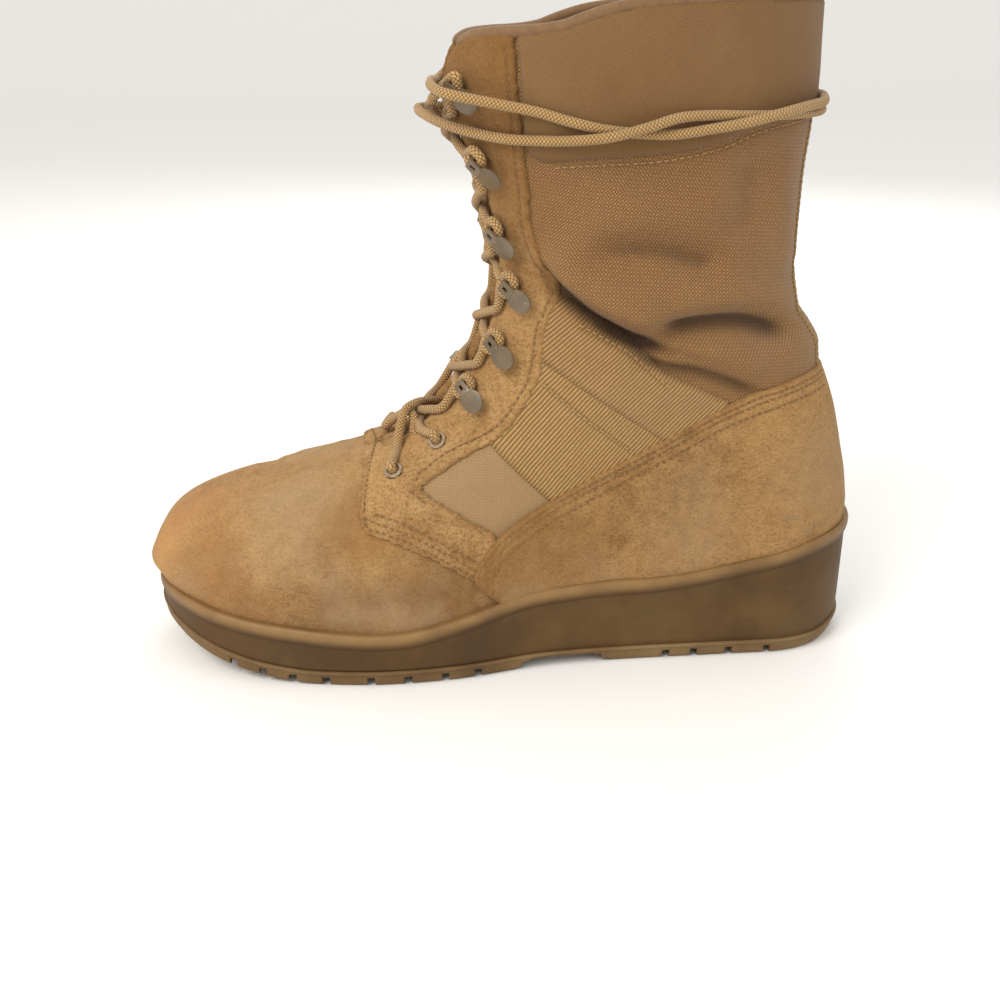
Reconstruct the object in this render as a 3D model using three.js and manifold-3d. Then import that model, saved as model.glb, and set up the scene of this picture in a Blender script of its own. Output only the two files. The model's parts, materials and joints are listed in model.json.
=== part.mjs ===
// Left combat boot: suede foot, woven nylon shaft, moulded rubber cup sole, speed hooks and a cord lace.
// Millimetres, +Z up. The toe points to -X and the outer side of the foot faces -Y. The origin lies
// on the floor, under the middle of the boot's own box without its free lace.
import * as THREE from 'three';
import { mergeVertices } from 'three/addons/utils/BufferGeometryUtils.js';
import Module from 'manifold-3d';

const wasm = await Module();
wasm.setup();

// Driving sizes
const soleLength = 311;
const ballWidth = 112;
const bootHeight = 266;         // floor to the top of the collar at the back
const gap = 0.3;                // between two pieces that meet

const treadThickness = 7;
const grooveWidth = 3.2;
const grooveDepth = 4;
const channelWidth = 5;
const archDepth = 4.6;          // hollow under the arch, ahead of the heel
const lipInset = 3.6;           // thickness of the cup wall at its top
const lipBulge = 0.8;           // the lip stands out this far past the cup wall

const upperWall = 2.2;
const insoleThickness = 5;
const tongueThickness = 2.4;
const suedeThickness = 1.5;
const collarThickness = 1.6;

const throatBottomGap = 16;     // between the two eyestays at the lowest eyelets
const throatTopGap = 27;        // and at the collar

const eyeletRadius = 4.4;
const eyeletBore = 2.4;
const eyeletHeight = 0.9;
const hookLength = 15;
const hookWidth = 9.6;
const hookNeck = 4.6;
const hookMetal = 1.1;
const hookClearance = 4.4;      // room for the lace under a hook's plate
const ventRadius = 4.2;
const laceDiameter = 3.8;

const ringPoints = 36;
const frontToBack = [0.18, 0.55, 0.85];   // where a section's three half widths are measured

const toeX = -soleLength / 2;
const alongFromToe = (share) => toeX + share * soleLength;
const shareFromToe = (x) => (x - toeX) / soleLength;

// A smooth curve through rows of [position, value], flat beyond its ends
function through(rows, position) {
  const last = rows.length - 1;
  if (position <= rows[0][0]) return rows[0][1];
  if (position >= rows[last][0]) return rows[last][1];
  const i = rows.findIndex((row) => row[0] > position) - 1;
  const slope = (k) => {
    const a = rows[Math.max(k - 1, 0)];
    const b = rows[Math.min(k + 1, last)];
    return (b[1] - a[1]) / (b[0] - a[0]);
  };
  const [x0, y0] = rows[i];
  const [x1, y1] = rows[i + 1];
  const h = x1 - x0;
  const u = (position - x0) / h;
  return (2 * u ** 3 - 3 * u ** 2 + 1) * y0 + (u ** 3 - 2 * u ** 2 + u) * h * slope(i)
    + (-2 * u ** 3 + 3 * u ** 2) * y1 + (u ** 3 - u ** 2) * h * slope(i + 1);
}

// A rounded end: 0 at its tip and 1 from its length on
const cap = (share, roundness) =>
  (1 - (1 - Math.min(Math.max(share, 0), 1)) ** roundness) ** (1 / roundness);

// Half widths of the sole as shares of the ball width: [share from toe, width]
const soleOuterSide = [
  [0, 0.40], [0.12, 0.445], [0.30, 0.5], [0.42, 0.475], [0.56, 0.39], [0.8, 0.365], [1, 0.365],
];
const soleInnerSide = [
  [0, 0.42], [0.12, 0.45], [0.25, 0.475], [0.38, 0.42], [0.53, 0.31], [0.66, 0.305], [0.8, 0.345], [1, 0.345],
];
const toeSwing = 0.06;          // how far the toe's tip leans to the inner side, of the ball width
const toeCap = 0.2;
const heelCap = 0.14;

// Heights in the side view: [share from toe, share of the boot's height]
const soleTopRows = [
  [0, 0.128], [0.06, 0.124], [0.12, 0.114], [0.2, 0.101], [0.27, 0.093], [0.36, 0.092], [0.44, 0.113],
  [0.51, 0.133], [0.58, 0.142], [0.63, 0.146], [0.7, 0.149], [0.78, 0.162], [0.865, 0.182], [0.93, 0.2],
  [1, 0.21],
];
const soleBottomRows = [
  [0, 0.066], [0.06, 0.042], [0.13, 0.018], [0.2, 0.004], [0.24, 0], [0.93, 0], [1, 0.012],
];
const footBedRows = [[0, 0.1], [0.1, 0.07], [0.26, 0.052], [0.45, 0.058], [0.7, 0.1], [1, 0.105]];
const soleTop = (x) => bootHeight * through(soleTopRows, shareFromToe(x));
const soleBottom = (x) => bootHeight * Math.max(0, through(soleBottomRows, shareFromToe(x)));
const footBed = (x) => bootHeight * through(footBedRows, shareFromToe(x));
const treadTop = (x) => soleBottom(x) + treadThickness;

// Points [x, y] round a foot-shaped outline, from the toe round the outer side to the heel and back
function footOutline({ front, back, outer, inner, nose, tail, round, swing }) {
  const points = [];
  for (let i = 0; i < ringPoints; i += 1) {
    const turn = (i / ringPoints) * 2 * Math.PI;
    const share = (1 - Math.cos(turn)) / 2;
    const side = turn < Math.PI ? -1 : 1;
    const x = front + share * (back - front);
    const half = ballWidth * (side < 0 ? outer : inner)(share)
      * cap((x - front) / nose, round) * cap((back - x) / tail, 2.1);
    const lean = ballWidth * swing * Math.max(0, 1 - 2 * share) ** 1.5;
    points.push([x, lean + side * half]);
  }
  return points;
}

// Moves each point of a closed outline inwards by a distance
function insetOutline(points, distance) {
  const count = points.length;
  return points.map((point, i) => {
    const before = points[(i + count - 1) % count];
    const after = points[(i + 1) % count];
    const dx = after[0] - before[0];
    const dy = after[1] - before[1];
    const length = Math.hypot(dx, dy);
    return [point[0] - (dy / length) * distance, point[1] + (dx / length) * distance];
  });
}

const outline = footOutline({
  front: toeX,
  back: toeX + soleLength,
  outer: (share) => through(soleOuterSide, share),
  inner: (share) => through(soleInnerSide, share),
  nose: toeCap * soleLength,
  tail: heelCap * soleLength,
  round: 2.2,
  swing: toeSwing,
});
const soleRing = (inset, heightAt) => insetOutline(outline, inset).map(([x, y]) => [x, y, heightAt(x)]);

// Triangles between rings of points, each ring joined to the next one
function stripsBetween(rings) {
  const triangles = [];
  for (let r = 0; r + 1 < rings.length; r += 1) {
    const low = rings[r];
    const high = rings[r + 1];
    for (let i = 0; i < low.length; i += 1) {
      const j = (i + 1) % low.length;
      triangles.push([low[i], low[j], high[j]], [low[i], high[j], high[i]]);
    }
  }
  return triangles;
}

const flipped = (triangles) => triangles.map(([a, b, c]) => [a, c, b]);

// Closes a ring with a ladder of faces from its outer side across to its inner side
function ladderAcross(ring) {
  const count = ring.length;
  const triangles = [];
  for (let i = 0; i < count / 2; i += 1) {
    const a = ring[i];
    const b = ring[i + 1];
    const c = ring[(count - i - 1) % count];
    const d = ring[(count - i) % count];
    if (i === 0) triangles.push([a, b, c]);
    else if (i === count / 2 - 1) triangles.push([a, b, d]);
    else triangles.push([a, b, c], [a, c, d]);
  }
  return triangles;
}

function geometryOf(triangles) {
  const geometry = new THREE.BufferGeometry();
  geometry.setAttribute('position', new THREE.BufferAttribute(new Float32Array(triangles.flat(2)), 3));
  return geometry;
}

// A closed mesh as a solid, turned face out where its faces point in
function solidOf(geometry) {
  const bare = new THREE.BufferGeometry();
  const source = geometry.index ? geometry.toNonIndexed() : geometry;
  bare.setAttribute('position', source.getAttribute('position'));
  const merged = mergeVertices(bare, 1e-4);
  const vertProperties = merged.getAttribute('position').array;
  const triVerts = new Uint32Array(merged.index.array);
  const solid = new wasm.Manifold(new wasm.Mesh({ numProp: 3, vertProperties, triVerts }));
  if (solid.volume() > 0) return solid;
  for (let i = 0; i < triVerts.length; i += 3) {
    [triVerts[i], triVerts[i + 1]] = [triVerts[i + 1], triVerts[i]];
  }
  return new wasm.Manifold(new wasm.Mesh({ numProp: 3, vertProperties, triVerts }));
}

function geometryFromSolid(solid) {
  const mesh = solid.getMesh();
  const positions = new Float32Array(mesh.numVert * 3);
  for (let i = 0; i < mesh.numVert; i += 1) {
    positions.set(mesh.vertProperties.subarray(i * mesh.numProp, i * mesh.numProp + 3), i * 3);
  }
  const geometry = new THREE.BufferGeometry();
  geometry.setAttribute('position', new THREE.BufferAttribute(positions, 3));
  geometry.setIndex(new THREE.BufferAttribute(mesh.triVerts, 1));
  return geometry;
}

// A closed solid from a stack of rings, with ladders at its two ends
function stack(rings) {
  return solidOf(geometryOf([
    ...stripsBetween(rings),
    ...flipped(ladderAcross(rings[0])),
    ...ladderAcross(rings[rings.length - 1]),
  ]));
}

// A prism with an outline in the side view, points [x, z], reaching from one Y to another
function sidePrism(points, fromY, toY) {
  const shape = new THREE.Shape(points.map(([x, z]) => new THREE.Vector2(x, z)));
  const geometry = new THREE.ExtrudeGeometry(shape, { depth: toY - fromY, bevelEnabled: false });
  geometry.rotateX(Math.PI / 2);
  geometry.translate(0, toY, 0);
  return solidOf(geometry);
}

// A prism with an outline in the front view, points [y, z], reaching from one X to another
function frontPrism(points, fromX, toX) {
  const shape = new THREE.Shape(points.map(([y, z]) => new THREE.Vector2(y, z)));
  const geometry = new THREE.ExtrudeGeometry(shape, { depth: toX - fromX, bevelEnabled: false });
  geometry.applyMatrix4(new THREE.Matrix4().set(0, 0, 1, fromX, 1, 0, 0, 0, 0, 1, 0, 0, 0, 0, 0, 1));
  return solidOf(geometry);
}

// Sections of the upper from the foot to the collar. frontX and backX are shares of the sole's length
// from the toe, frontZ and backZ of the boot's height, nose and tail (the lengths of the round ends)
// of the sole's length, and all widths of the ball width. lasted pulls a section to the sole's outline.
const upperSections = [
  { frontX: 0.002, frontZ: 0.158, backX: 0.987, backZ: 0.244, nose: 0.20, tail: 0.142,
    outer: [0.470, 0.395, 0.335], inner: [0.455, 0.335, 0.325], swing: 0.06, lasted: 0.6 },
  { frontX: 0.016, frontZ: 0.192, backX: 0.981, backZ: 0.286, nose: 0.22, tail: 0.145,
    outer: [0.440, 0.380, 0.326], inner: [0.430, 0.335, 0.318], swing: 0.055, lasted: 0.3 },
  { frontX: 0.036, frontZ: 0.226, backX: 0.973, backZ: 0.323, nose: 0.25, tail: 0.145,
    outer: [0.400, 0.370, 0.318], inner: [0.395, 0.335, 0.312], swing: 0.05, lasted: 0.1 },
  { frontX: 0.065, frontZ: 0.250, backX: 0.966, backZ: 0.357, nose: 0.28, tail: 0.145,
    outer: [0.355, 0.360, 0.310], inner: [0.355, 0.335, 0.306], swing: 0.045, lasted: 0 },
  { frontX: 0.107, frontZ: 0.266, backX: 0.958, backZ: 0.391, nose: 0.30, tail: 0.145,
    outer: [0.325, 0.352, 0.304], inner: [0.325, 0.333, 0.300], swing: 0.04, lasted: 0 },
  { frontX: 0.161, frontZ: 0.278, backX: 0.950, backZ: 0.417, nose: 0.30, tail: 0.143,
    outer: [0.315, 0.344, 0.298], inner: [0.315, 0.330, 0.294], swing: 0.035, lasted: 0 },
  { frontX: 0.220, frontZ: 0.296, backX: 0.942, backZ: 0.440, nose: 0.29, tail: 0.141,
    outer: [0.315, 0.338, 0.292], inner: [0.315, 0.326, 0.288], swing: 0.03, lasted: 0 },
  { frontX: 0.277, frontZ: 0.314, backX: 0.935, backZ: 0.459, nose: 0.28, tail: 0.140,
    outer: [0.318, 0.332, 0.286], inner: [0.318, 0.322, 0.284], swing: 0.02, lasted: 0 },
  { frontX: 0.330, frontZ: 0.335, backX: 0.931, backZ: 0.481, nose: 0.27, tail: 0.138,
    outer: [0.320, 0.328, 0.282], inner: [0.320, 0.320, 0.280], swing: 0.01, lasted: 0 },
  { frontX: 0.376, frontZ: 0.366, backX: 0.928, backZ: 0.504, nose: 0.25, tail: 0.137,
    outer: [0.320, 0.325, 0.280], inner: [0.320, 0.320, 0.278], swing: 0, lasted: 0 },
  { frontX: 0.414, frontZ: 0.408, backX: 0.914, backZ: 0.530, nose: 0.23, tail: 0.136,
    outer: [0.318, 0.323, 0.279], inner: [0.318, 0.319, 0.277], swing: 0, lasted: 0 },
  { frontX: 0.447, frontZ: 0.460, backX: 0.897, backZ: 0.557, nose: 0.21, tail: 0.136,
    outer: [0.316, 0.322, 0.280], inner: [0.316, 0.320, 0.279], swing: 0, lasted: 0 },
  { frontX: 0.473, frontZ: 0.520, backX: 0.888, backZ: 0.596, nose: 0.19, tail: 0.137,
    outer: [0.320, 0.325, 0.284], inner: [0.320, 0.324, 0.284], swing: 0, lasted: 0 },
  { frontX: 0.488, frontZ: 0.586, backX: 0.884, backZ: 0.648, nose: 0.178, tail: 0.138,
    outer: [0.328, 0.332, 0.292], inner: [0.328, 0.332, 0.292], swing: 0, lasted: 0 },
  { frontX: 0.490, frontZ: 0.656, backX: 0.884, backZ: 0.708, nose: 0.172, tail: 0.140,
    outer: [0.338, 0.342, 0.302], inner: [0.338, 0.342, 0.302], swing: 0, lasted: 0 },
  { frontX: 0.476, frontZ: 0.727, backX: 0.885, backZ: 0.768, nose: 0.172, tail: 0.142,
    outer: [0.348, 0.352, 0.314], inner: [0.348, 0.352, 0.314], swing: 0, lasted: 0 },
  { frontX: 0.449, frontZ: 0.800, backX: 0.889, backZ: 0.829, nose: 0.175, tail: 0.145,
    outer: [0.358, 0.362, 0.326], inner: [0.358, 0.362, 0.326], swing: 0, lasted: 0 },
  { frontX: 0.425, frontZ: 0.875, backX: 0.890, backZ: 0.894, nose: 0.178, tail: 0.148,
    outer: [0.364, 0.370, 0.336], inner: [0.364, 0.370, 0.336], swing: 0, lasted: 0 },
  { frontX: 0.427, frontZ: 0.928, backX: 0.888, backZ: 0.948, nose: 0.178, tail: 0.15,
    outer: [0.366, 0.374, 0.342], inner: [0.366, 0.374, 0.342], swing: 0, lasted: 0 },
  { frontX: 0.441, frontZ: 0.985, backX: 0.886, backZ: 1.02, nose: 0.176, tail: 0.15,
    outer: [0.366, 0.376, 0.346], inner: [0.366, 0.376, 0.346], swing: 0, lasted: 0 },
];

const lastOutline = insetOutline(outline, lipInset + gap);

// One section of the upper's outside, as points [x, y, z]
function upperRing(section) {
  const widthsOf = (widths) => (share) => through(frontToBack.map((at, i) => [at, widths[i]]), share);
  const front = alongFromToe(section.frontX);
  const back = alongFromToe(section.backX);
  const points = footOutline({
    front,
    back,
    outer: widthsOf(section.outer),
    inner: widthsOf(section.inner),
    nose: section.nose * soleLength,
    tail: section.tail * soleLength,
    round: 2.05,
    swing: section.swing,
  });
  return points.map(([x, y], i) => {
    const rise = section.frontZ + ((x - front) / (back - front)) * (section.backZ - section.frontZ);
    return [x, y + section.lasted * (lastOutline[i][1] - y), rise * bootHeight];
  });
}

const featherRise = 0.3;        // the foot widens from this far over the top of the sole
const upperRings = [
  lastOutline.map(([x, y]) => [x, y, footBed(x) + gap]),
  lastOutline.map(([x, y]) => [x, y, soleTop(x) + featherRise]),
  ...upperSections.map(upperRing),
];

// The same rings moved outwards along the mean normals of the faces round each point
function movedRings(rings, distance) {
  const normals = rings.map((ring) => ring.map(() => new THREE.Vector3()));
  const corner = ([r, i]) => new THREE.Vector3(...rings[r][i]);
  for (let r = 0; r + 1 < rings.length; r += 1) {
    for (let i = 0; i < ringPoints; i += 1) {
      const j = (i + 1) % ringPoints;
      for (const face of [[[r, i], [r, j], [r + 1, j]], [[r, i], [r + 1, j], [r + 1, i]]]) {
        const [a, b, c] = face.map(corner);
        const normal = b.sub(a).cross(c.sub(a)).normalize();
        for (const [row, column] of face) normals[row][column].add(normal);
      }
    }
  }
  return rings.map((ring, r) => ring.map((point, i) => {
    const normal = normals[r][i];
    if (r === 0 || r === rings.length - 1) normal.setZ(0);
    normal.normalize();
    return [point[0] + normal.x * distance, point[1] + normal.y * distance, point[2] + normal.z * distance];
  }));
}

// A shell between two distances from the upper's outside, its faces split alike on both sides
function upperShell(inner, outer) {
  const outside = movedRings(upperRings, outer);
  const inside = movedRings(upperRings, inner);
  const top = upperRings.length - 1;
  return solidOf(geometryOf([
    ...stripsBetween(outside),
    ...flipped(stripsBetween(inside)),
    ...stripsBetween([inside[0], outside[0]]),
    ...stripsBetween([outside[top], inside[top]]),
  ]));
}

const at = (rows) => rows.map(([x, z]) => [alongFromToe(x), z * bootHeight]);
const beyond = ballWidth;       // past the boot's side,
const ahead = toeX - 20;        // ahead of its toe
const below = -20;              // and under its sole

// What the sole takes up under its lip, with the gap above it
const soleSpace = () => stack([
  soleRing(-2 * suedeThickness - lipBulge, () => below),
  soleRing(-2 * suedeThickness - lipBulge, (x) => soleTop(x) + gap),
]);

// The slit at the front, from the lowest eyelets up past the collar
const throatBottomZ = 0.337 * bootHeight;
const throatTopZ = 1.05 * bootHeight;
const throatBackX = alongFromToe(0.62);
const throat = () => frontPrism([
  [-throatBottomGap / 2, throatBottomZ],
  [throatBottomGap / 2, throatBottomZ],
  [throatTopGap / 2, throatTopZ],
  [-throatTopGap / 2, throatTopZ],
], ahead, throatBackX);

// Above the top edge of the boot, in the side view: [share from toe, share of the boot's height]
const topEdge = [
  [0.38, 0.9], [0.432, 0.905], [0.437, 0.925], [0.447, 0.941], [0.465, 0.952], [0.55, 0.956], [0.585, 0.972],
  [0.63, 0.987], [0.7, 0.993], [0.8, 0.998], [0.9, 1], [1.05, 1], [1.05, 1.1], [0.38, 1.1],
];
const aboveTop = () => sidePrism(at(topEdge), -beyond, beyond);

// Outlines in the side view, in the same shares
const eyestayOutline = [
  [0.299, 0.246], [0.303, 0.28], [0.305, 0.45], [0.36, 0.5], [0.4, 0.7], [0.38, 1.1], [0.505, 1.1],
  [0.505, 0.945], [0.513, 0.836], [0.526, 0.738], [0.529, 0.693], [0.549, 0.634], [0.566, 0.598],
  [0.558, 0.575], [0.545, 0.535], [0.541, 0.472], [0.524, 0.438], [0.506, 0.406], [0.480, 0.374],
  [0.430, 0.343], [0.378, 0.306], [0.479, 0.226], [0.495, 0.17], [0.450, 0.166], [0.431, 0.182],
  [0.404, 0.205], [0.372, 0.226], [0.345, 0.236], [0.315, 0.242],
];
const counterOutline = [
  [0.486, 0.0], [0.484, 0.114], [0.447, 0.160], [0.475, 0.190], [0.534, 0.252], [0.612, 0.294],
  [0.703, 0.352], [0.785, 0.420], [0.9, 0.456], [1.05, 0.47], [1.05, 0.0],
];
const collarOutline = [
  [0.524, 0.785], [0.588, 0.793], [0.681, 0.797], [0.750, 0.813], [0.792, 0.835], [0.9, 0.85],
  [1.05, 0.85], [1.05, 1.1], [0.509, 1.1], [0.509, 0.945], [0.517, 0.836],
];

const group = new THREE.Group();
function addPiece(name, solid, color, roughness, metalness = 0) {
  const mesh = new THREE.Mesh(geometryFromSolid(solid),
    new THREE.MeshStandardMaterial({ color, roughness, metalness }));
  mesh.name = name;
  group.add(mesh);
}

// Outsole: a tread plate with grooves across the forefoot and the heel and a hollow at the arch
const foreGrooves = [0.125, 0.165, 0.205, 0.25, 0.31, 0.36, 0.41, 0.455];
const heelGrooves = [0.72, 0.76, 0.81, 0.865];
const channels = [[0.205, 0.455], [0.72, 0.865]];   // from groove to groove, along the middle
// The hollow as [share from toe, share of its depth]
const archOutline = [[0.5, -0.1], [0.505, 0.004], [0.54, 1], [0.6, 1], [0.64, 0.004], [0.645, -0.1]];
// The tread plate's edge as [inset from the outline, share of the plate's thickness]
const treadEdge = [[3.2, 0], [1.8, 0.25], [1.2, 0.77], [0.1, 0.83], [0.1, 1]];

// A rectangle across a groove, from below the sole to a roof
const grooveSection = (middle, width, roof) => [
  [middle - width / 2, below], [middle - width / 2, roof],
  [middle + width / 2, roof], [middle + width / 2, below],
];

function makeOutsole() {
  let solid = stack(treadEdge.map(([inset, share]) => (
    soleRing(inset, (x) => soleBottom(x) + share * treadThickness)
  )));
  for (const share of [...foreGrooves, ...heelGrooves]) {
    const x = alongFromToe(share);
    const section = grooveSection(x, grooveWidth, soleBottom(x) + grooveDepth);
    solid = solid.subtract(sidePrism(section, -beyond, beyond));
  }
  for (const [from, to] of channels) {
    const section = grooveSection(0, channelWidth, grooveDepth);
    solid = solid.subtract(frontPrism(section, alongFromToe(from), alongFromToe(to)));
  }
  const arch = archOutline.map(([share, height]) => [alongFromToe(share), height * archDepth]);
  return solid.subtract(sidePrism(arch, -beyond, beyond));
}

// Midsole: a cup with a rounded lip that holds the foot of the upper. Its edge as [inset from the
// outline, share of the way from the tread to the sole's top]
const cupEdge = [
  [lipBulge + 0.5, 0], [lipBulge, 0.5], [lipBulge, 0.74], [0, 0.8], [-0.3, 0.88], [0.2, 0.96], [1.4, 1],
  [lipInset, 0.99],
];
function makeMidsole() {
  const between = (x, share) => treadTop(x) + gap + share * (soleTop(x) - treadTop(x) - gap);
  return stack([
    ...cupEdge.map(([inset, share]) => soleRing(inset, (x) => between(x, share))),
    soleRing(lipInset, footBed),
  ]);
}

const makeUpper = () => upperShell(-upperWall, 0).subtract(throat()).subtract(aboveTop());

function makeInsole() {
  const edge = lipInset + gap + upperWall + 2 * gap;
  const bottom = (x) => footBed(x) + gap;
  return stack([
    soleRing(edge, bottom),
    soleRing(edge, (x) => bottom(x) + 0.8 * insoleThickness),
    soleRing(edge + 0.3 * insoleThickness, (x) => bottom(x) + insoleThickness),
  ]);
}

// Tongue: a sheet just inside the upper behind the throat, from the vamp up to the collar. One side of
// its edge in the front view as [margin beside the throat's half gap, share of the boot's height]
const tongueEdge = [[9, 0.28], [15.5, 0.91], [8.4, 0.94]];
function makeTongue() {
  const sheet = upperShell(-upperWall - gap - tongueThickness, -upperWall - gap);
  const edge = tongueEdge.map(([margin, z]) => [throatBottomGap / 2 + margin, z * bootHeight]);
  const mirrored = edge.map(([y, z]) => [-y, z]).reverse();
  return sheet.intersect(frontPrism([...edge, ...mirrored], ahead, throatBackX));
}

// A thin layer on the upper's outer side (-1), inner side (1) or both (0), cut out in the side view
function overlay(thickness, points, side, cutters) {
  let solid = upperShell(gap, gap + thickness)
    .intersect(sidePrism(points, side > 0 ? 0 : -beyond, side < 0 ? 0 : beyond))
    .subtract(soleSpace());
  for (const cutter of cutters) solid = solid.subtract(cutter);
  return solid;
}

// The counter's outline moved forwards and up, so that what meets its edge stops short of it
const counterSpace = () => sidePrism(at(counterOutline), -beyond, beyond).translate(-gap, 0, 2 * gap);
const makeEyestay = (side) => overlay(suedeThickness, at(eyestayOutline), side,
  [throat(), aboveTop(), counterSpace()]);
const makeCounter = () => overlay(suedeThickness, at(counterOutline), 0, []);
const makeCollar = () => overlay(collarThickness, at(collarOutline), 0, [aboveTop()]);

const unlit = new THREE.MeshBasicMaterial({ side: THREE.DoubleSide });

// A frame on the outside of a solid, reached along Y: its X axis points ahead and its Z axis straight
// out. reach is how far the piece that sits there extends, so that it clears a hollow surface too.
function seatOn(solid, x, z, side, reach) {
  const target = new THREE.Mesh(geometryFromSolid(solid), unlit);
  const caster = new THREE.Raycaster();
  const onSurface = (dx, dz) => {
    caster.set(new THREE.Vector3(x + dx, side * 2 * beyond, z + dz), new THREE.Vector3(0, -side, 0));
    return caster.intersectObject(target)[0].point;
  };
  const middle = onSurface(0, 0);
  const rim = [0, 1, 2, 3, 4, 5].map((i) => (i * Math.PI) / 3)
    .map((turn) => onSurface(reach * Math.cos(turn), reach * Math.sin(turn)));
  const out = rim[2].clone().sub(rim[0]).cross(rim[4].clone().sub(rim[0])).normalize();
  if (out.y * side < 0) out.negate();
  const lift = Math.max(0, ...rim.map((point) => point.sub(middle).dot(out)));
  const forward = new THREE.Vector3(-1, 0, 0).addScaledVector(out, out.x).normalize();
  const frame = new THREE.Matrix4().makeBasis(forward, out.clone().cross(forward), out);
  return frame.setPosition(middle.addScaledVector(out, lift + 2 * gap));
}
const placed = (geometry, frame) => solidOf(geometry.applyMatrix4(frame));

// Ring with a rounded rim
function eyeletGeometry(outer, bore, height) {
  const profile = [
    [bore, 0], [outer, 0], [outer - 0.3 * height, 0.7 * height], [(outer + bore) / 2, height],
    [bore + 0.2 * height, 0.7 * height], [bore, 0],
  ].map(([r, h]) => new THREE.Vector2(r, h));
  return new THREE.LatheGeometry(profile, 12).rotateX(Math.PI / 2);
}

// Hook: a foot on the leather, a neck on the throat side and a paddle-shaped plate over the lace
function makeHook(place) {
  const plate = new THREE.Shape();
  const wide = hookWidth / 2;
  const centre = -hookLength / 2 + wide;
  const start = Math.asin(hookNeck / 2 / wide);
  plate.moveTo(hookLength / 2, -hookNeck / 2);
  plate.lineTo(hookLength / 2, hookNeck / 2);
  plate.absarc(centre, 0, wide, start, 2 * Math.PI - start, false);
  plate.closePath();
  const top = new THREE.ExtrudeGeometry(plate, { depth: hookMetal, bevelEnabled: false, curveSegments: 7 });
  top.translate(0, 0, hookClearance + hookMetal);
  const foot = new THREE.BoxGeometry(hookLength * 0.6, hookNeck, hookMetal);
  foot.translate(hookLength * 0.2, 0, hookMetal / 2);
  const neck = new THREE.BoxGeometry(hookMetal, hookNeck, hookClearance + 2 * hookMetal);
  neck.translate(hookLength / 2 - hookMetal / 2, 0, hookClearance / 2 + hookMetal);
  return placed(top, place).add(placed(foot, place)).add(placed(neck, place));
}

// A round cord through points, as a solid
function cordSolid(points, sides, steps) {
  const section = new THREE.Shape();
  for (let i = 0; i < sides; i += 1) {
    const turn = (i / sides) * 2 * Math.PI;
    const [x, y] = [Math.cos(turn) * laceDiameter / 2, Math.sin(turn) * laceDiameter / 2];
    if (i === 0) section.moveTo(x, y);
    else section.lineTo(x, y);
  }
  const extrudePath = new THREE.CatmullRomCurve3(points.map((point) => new THREE.Vector3(...point)));
  return solidOf(new THREE.ExtrudeGeometry(section, { steps, extrudePath, bevelEnabled: false }));
}

// Lacing places, from the toe up, in shares of the sole's length and the boot's height. slope turns
// each one from straight ahead up towards the throat.
const lacing = [
  { kind: 'eyelet', x: 0.351, z: 0.325, slope: 1.1 },
  { kind: 'eyelet', x: 0.407, z: 0.361, slope: 1.0 },
  { kind: 'hook', x: 0.455, z: 0.430, slope: 1.4 },
  { kind: 'hook', x: 0.493, z: 0.498, slope: 1.15 },
  { kind: 'hook', x: 0.521, z: 0.588, slope: 0.6 },
  { kind: 'hook', x: 0.508, z: 0.668, slope: 0.25 },
  { kind: 'hook', x: 0.484, z: 0.775, slope: 0 },
  { kind: 'hook', x: 0.455, z: 0.875, slope: 0 },
];

// Where the lace leaves a lacing place towards the throat: above it (1) or below it (-1)
function laceStart(seat, kind, upper) {
  const reach = kind === 'hook' ? hookLength / 2 : eyeletRadius;
  const aside = kind === 'hook' ? upper * (laceDiameter / 2 + 2 * gap) : 0;
  return new THREE.Vector3(reach + laceDiameter / 2 + 4 * gap, aside * seat.hand, 0).applyMatrix4(seat.frame);
}

// Drain vent low on the inner side, in the same shares
const vent = { x: 0.335, z: 0.19 };

const strandSteps = 6;
const strandSides = 6;
const dipShare = 0.75;          // a strand to an eyelet shows this far before it dips under the eyestay

// Points of a strand from one side's lacing place over the throat towards the other side
function strandPoints(cover, start, end, share) {
  const slant = new THREE.Vector3(start.x - end.x, 0, start.z - end.z).normalize();
  const forward = new THREE.Vector3(slant.z, 0, -slant.x);
  if (forward.x > 0) forward.negate();
  const caster = new THREE.Raycaster();
  const points = [];
  for (let i = 0; i <= strandSteps; i += 1) {
    const spot = start.clone().lerp(end, (share * i) / strandSteps);
    caster.set(spot.clone().addScaledVector(forward, beyond), forward.clone().negate());
    const hit = caster.intersectObject(cover)[0];
    const out = hit.face.normal.clone();
    if (out.dot(forward) < 0) out.negate();
    points.push(hit.point.addScaledVector(out, laceDiameter / 2 + 3 * gap));
  }
  return points;
}

// Two strands that cross over the middle of the throat, as one solid
function laceCrossing(cover, seats, k) {
  const share = lacing[k + 1].kind === 'eyelet' ? dipShare : 1;
  const [first, second] = [['outer', 'inner'], ['inner', 'outer']].map(([from, to]) => strandPoints(
    cover,
    laceStart(seats[from][k], lacing[k].kind, 1),
    laceStart(seats[to][k + 1], lacing[k + 1].kind, -1),
    share,
  ));
  const crossing = Math.round(strandSteps / 2 / share);
  first[crossing].lerp(second[crossing], 0.5);
  second[crossing].copy(first[crossing]);
  return cordSolid(first, strandSides, strandSteps).add(cordSolid(second, strandSides, strandSteps));
}

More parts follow.
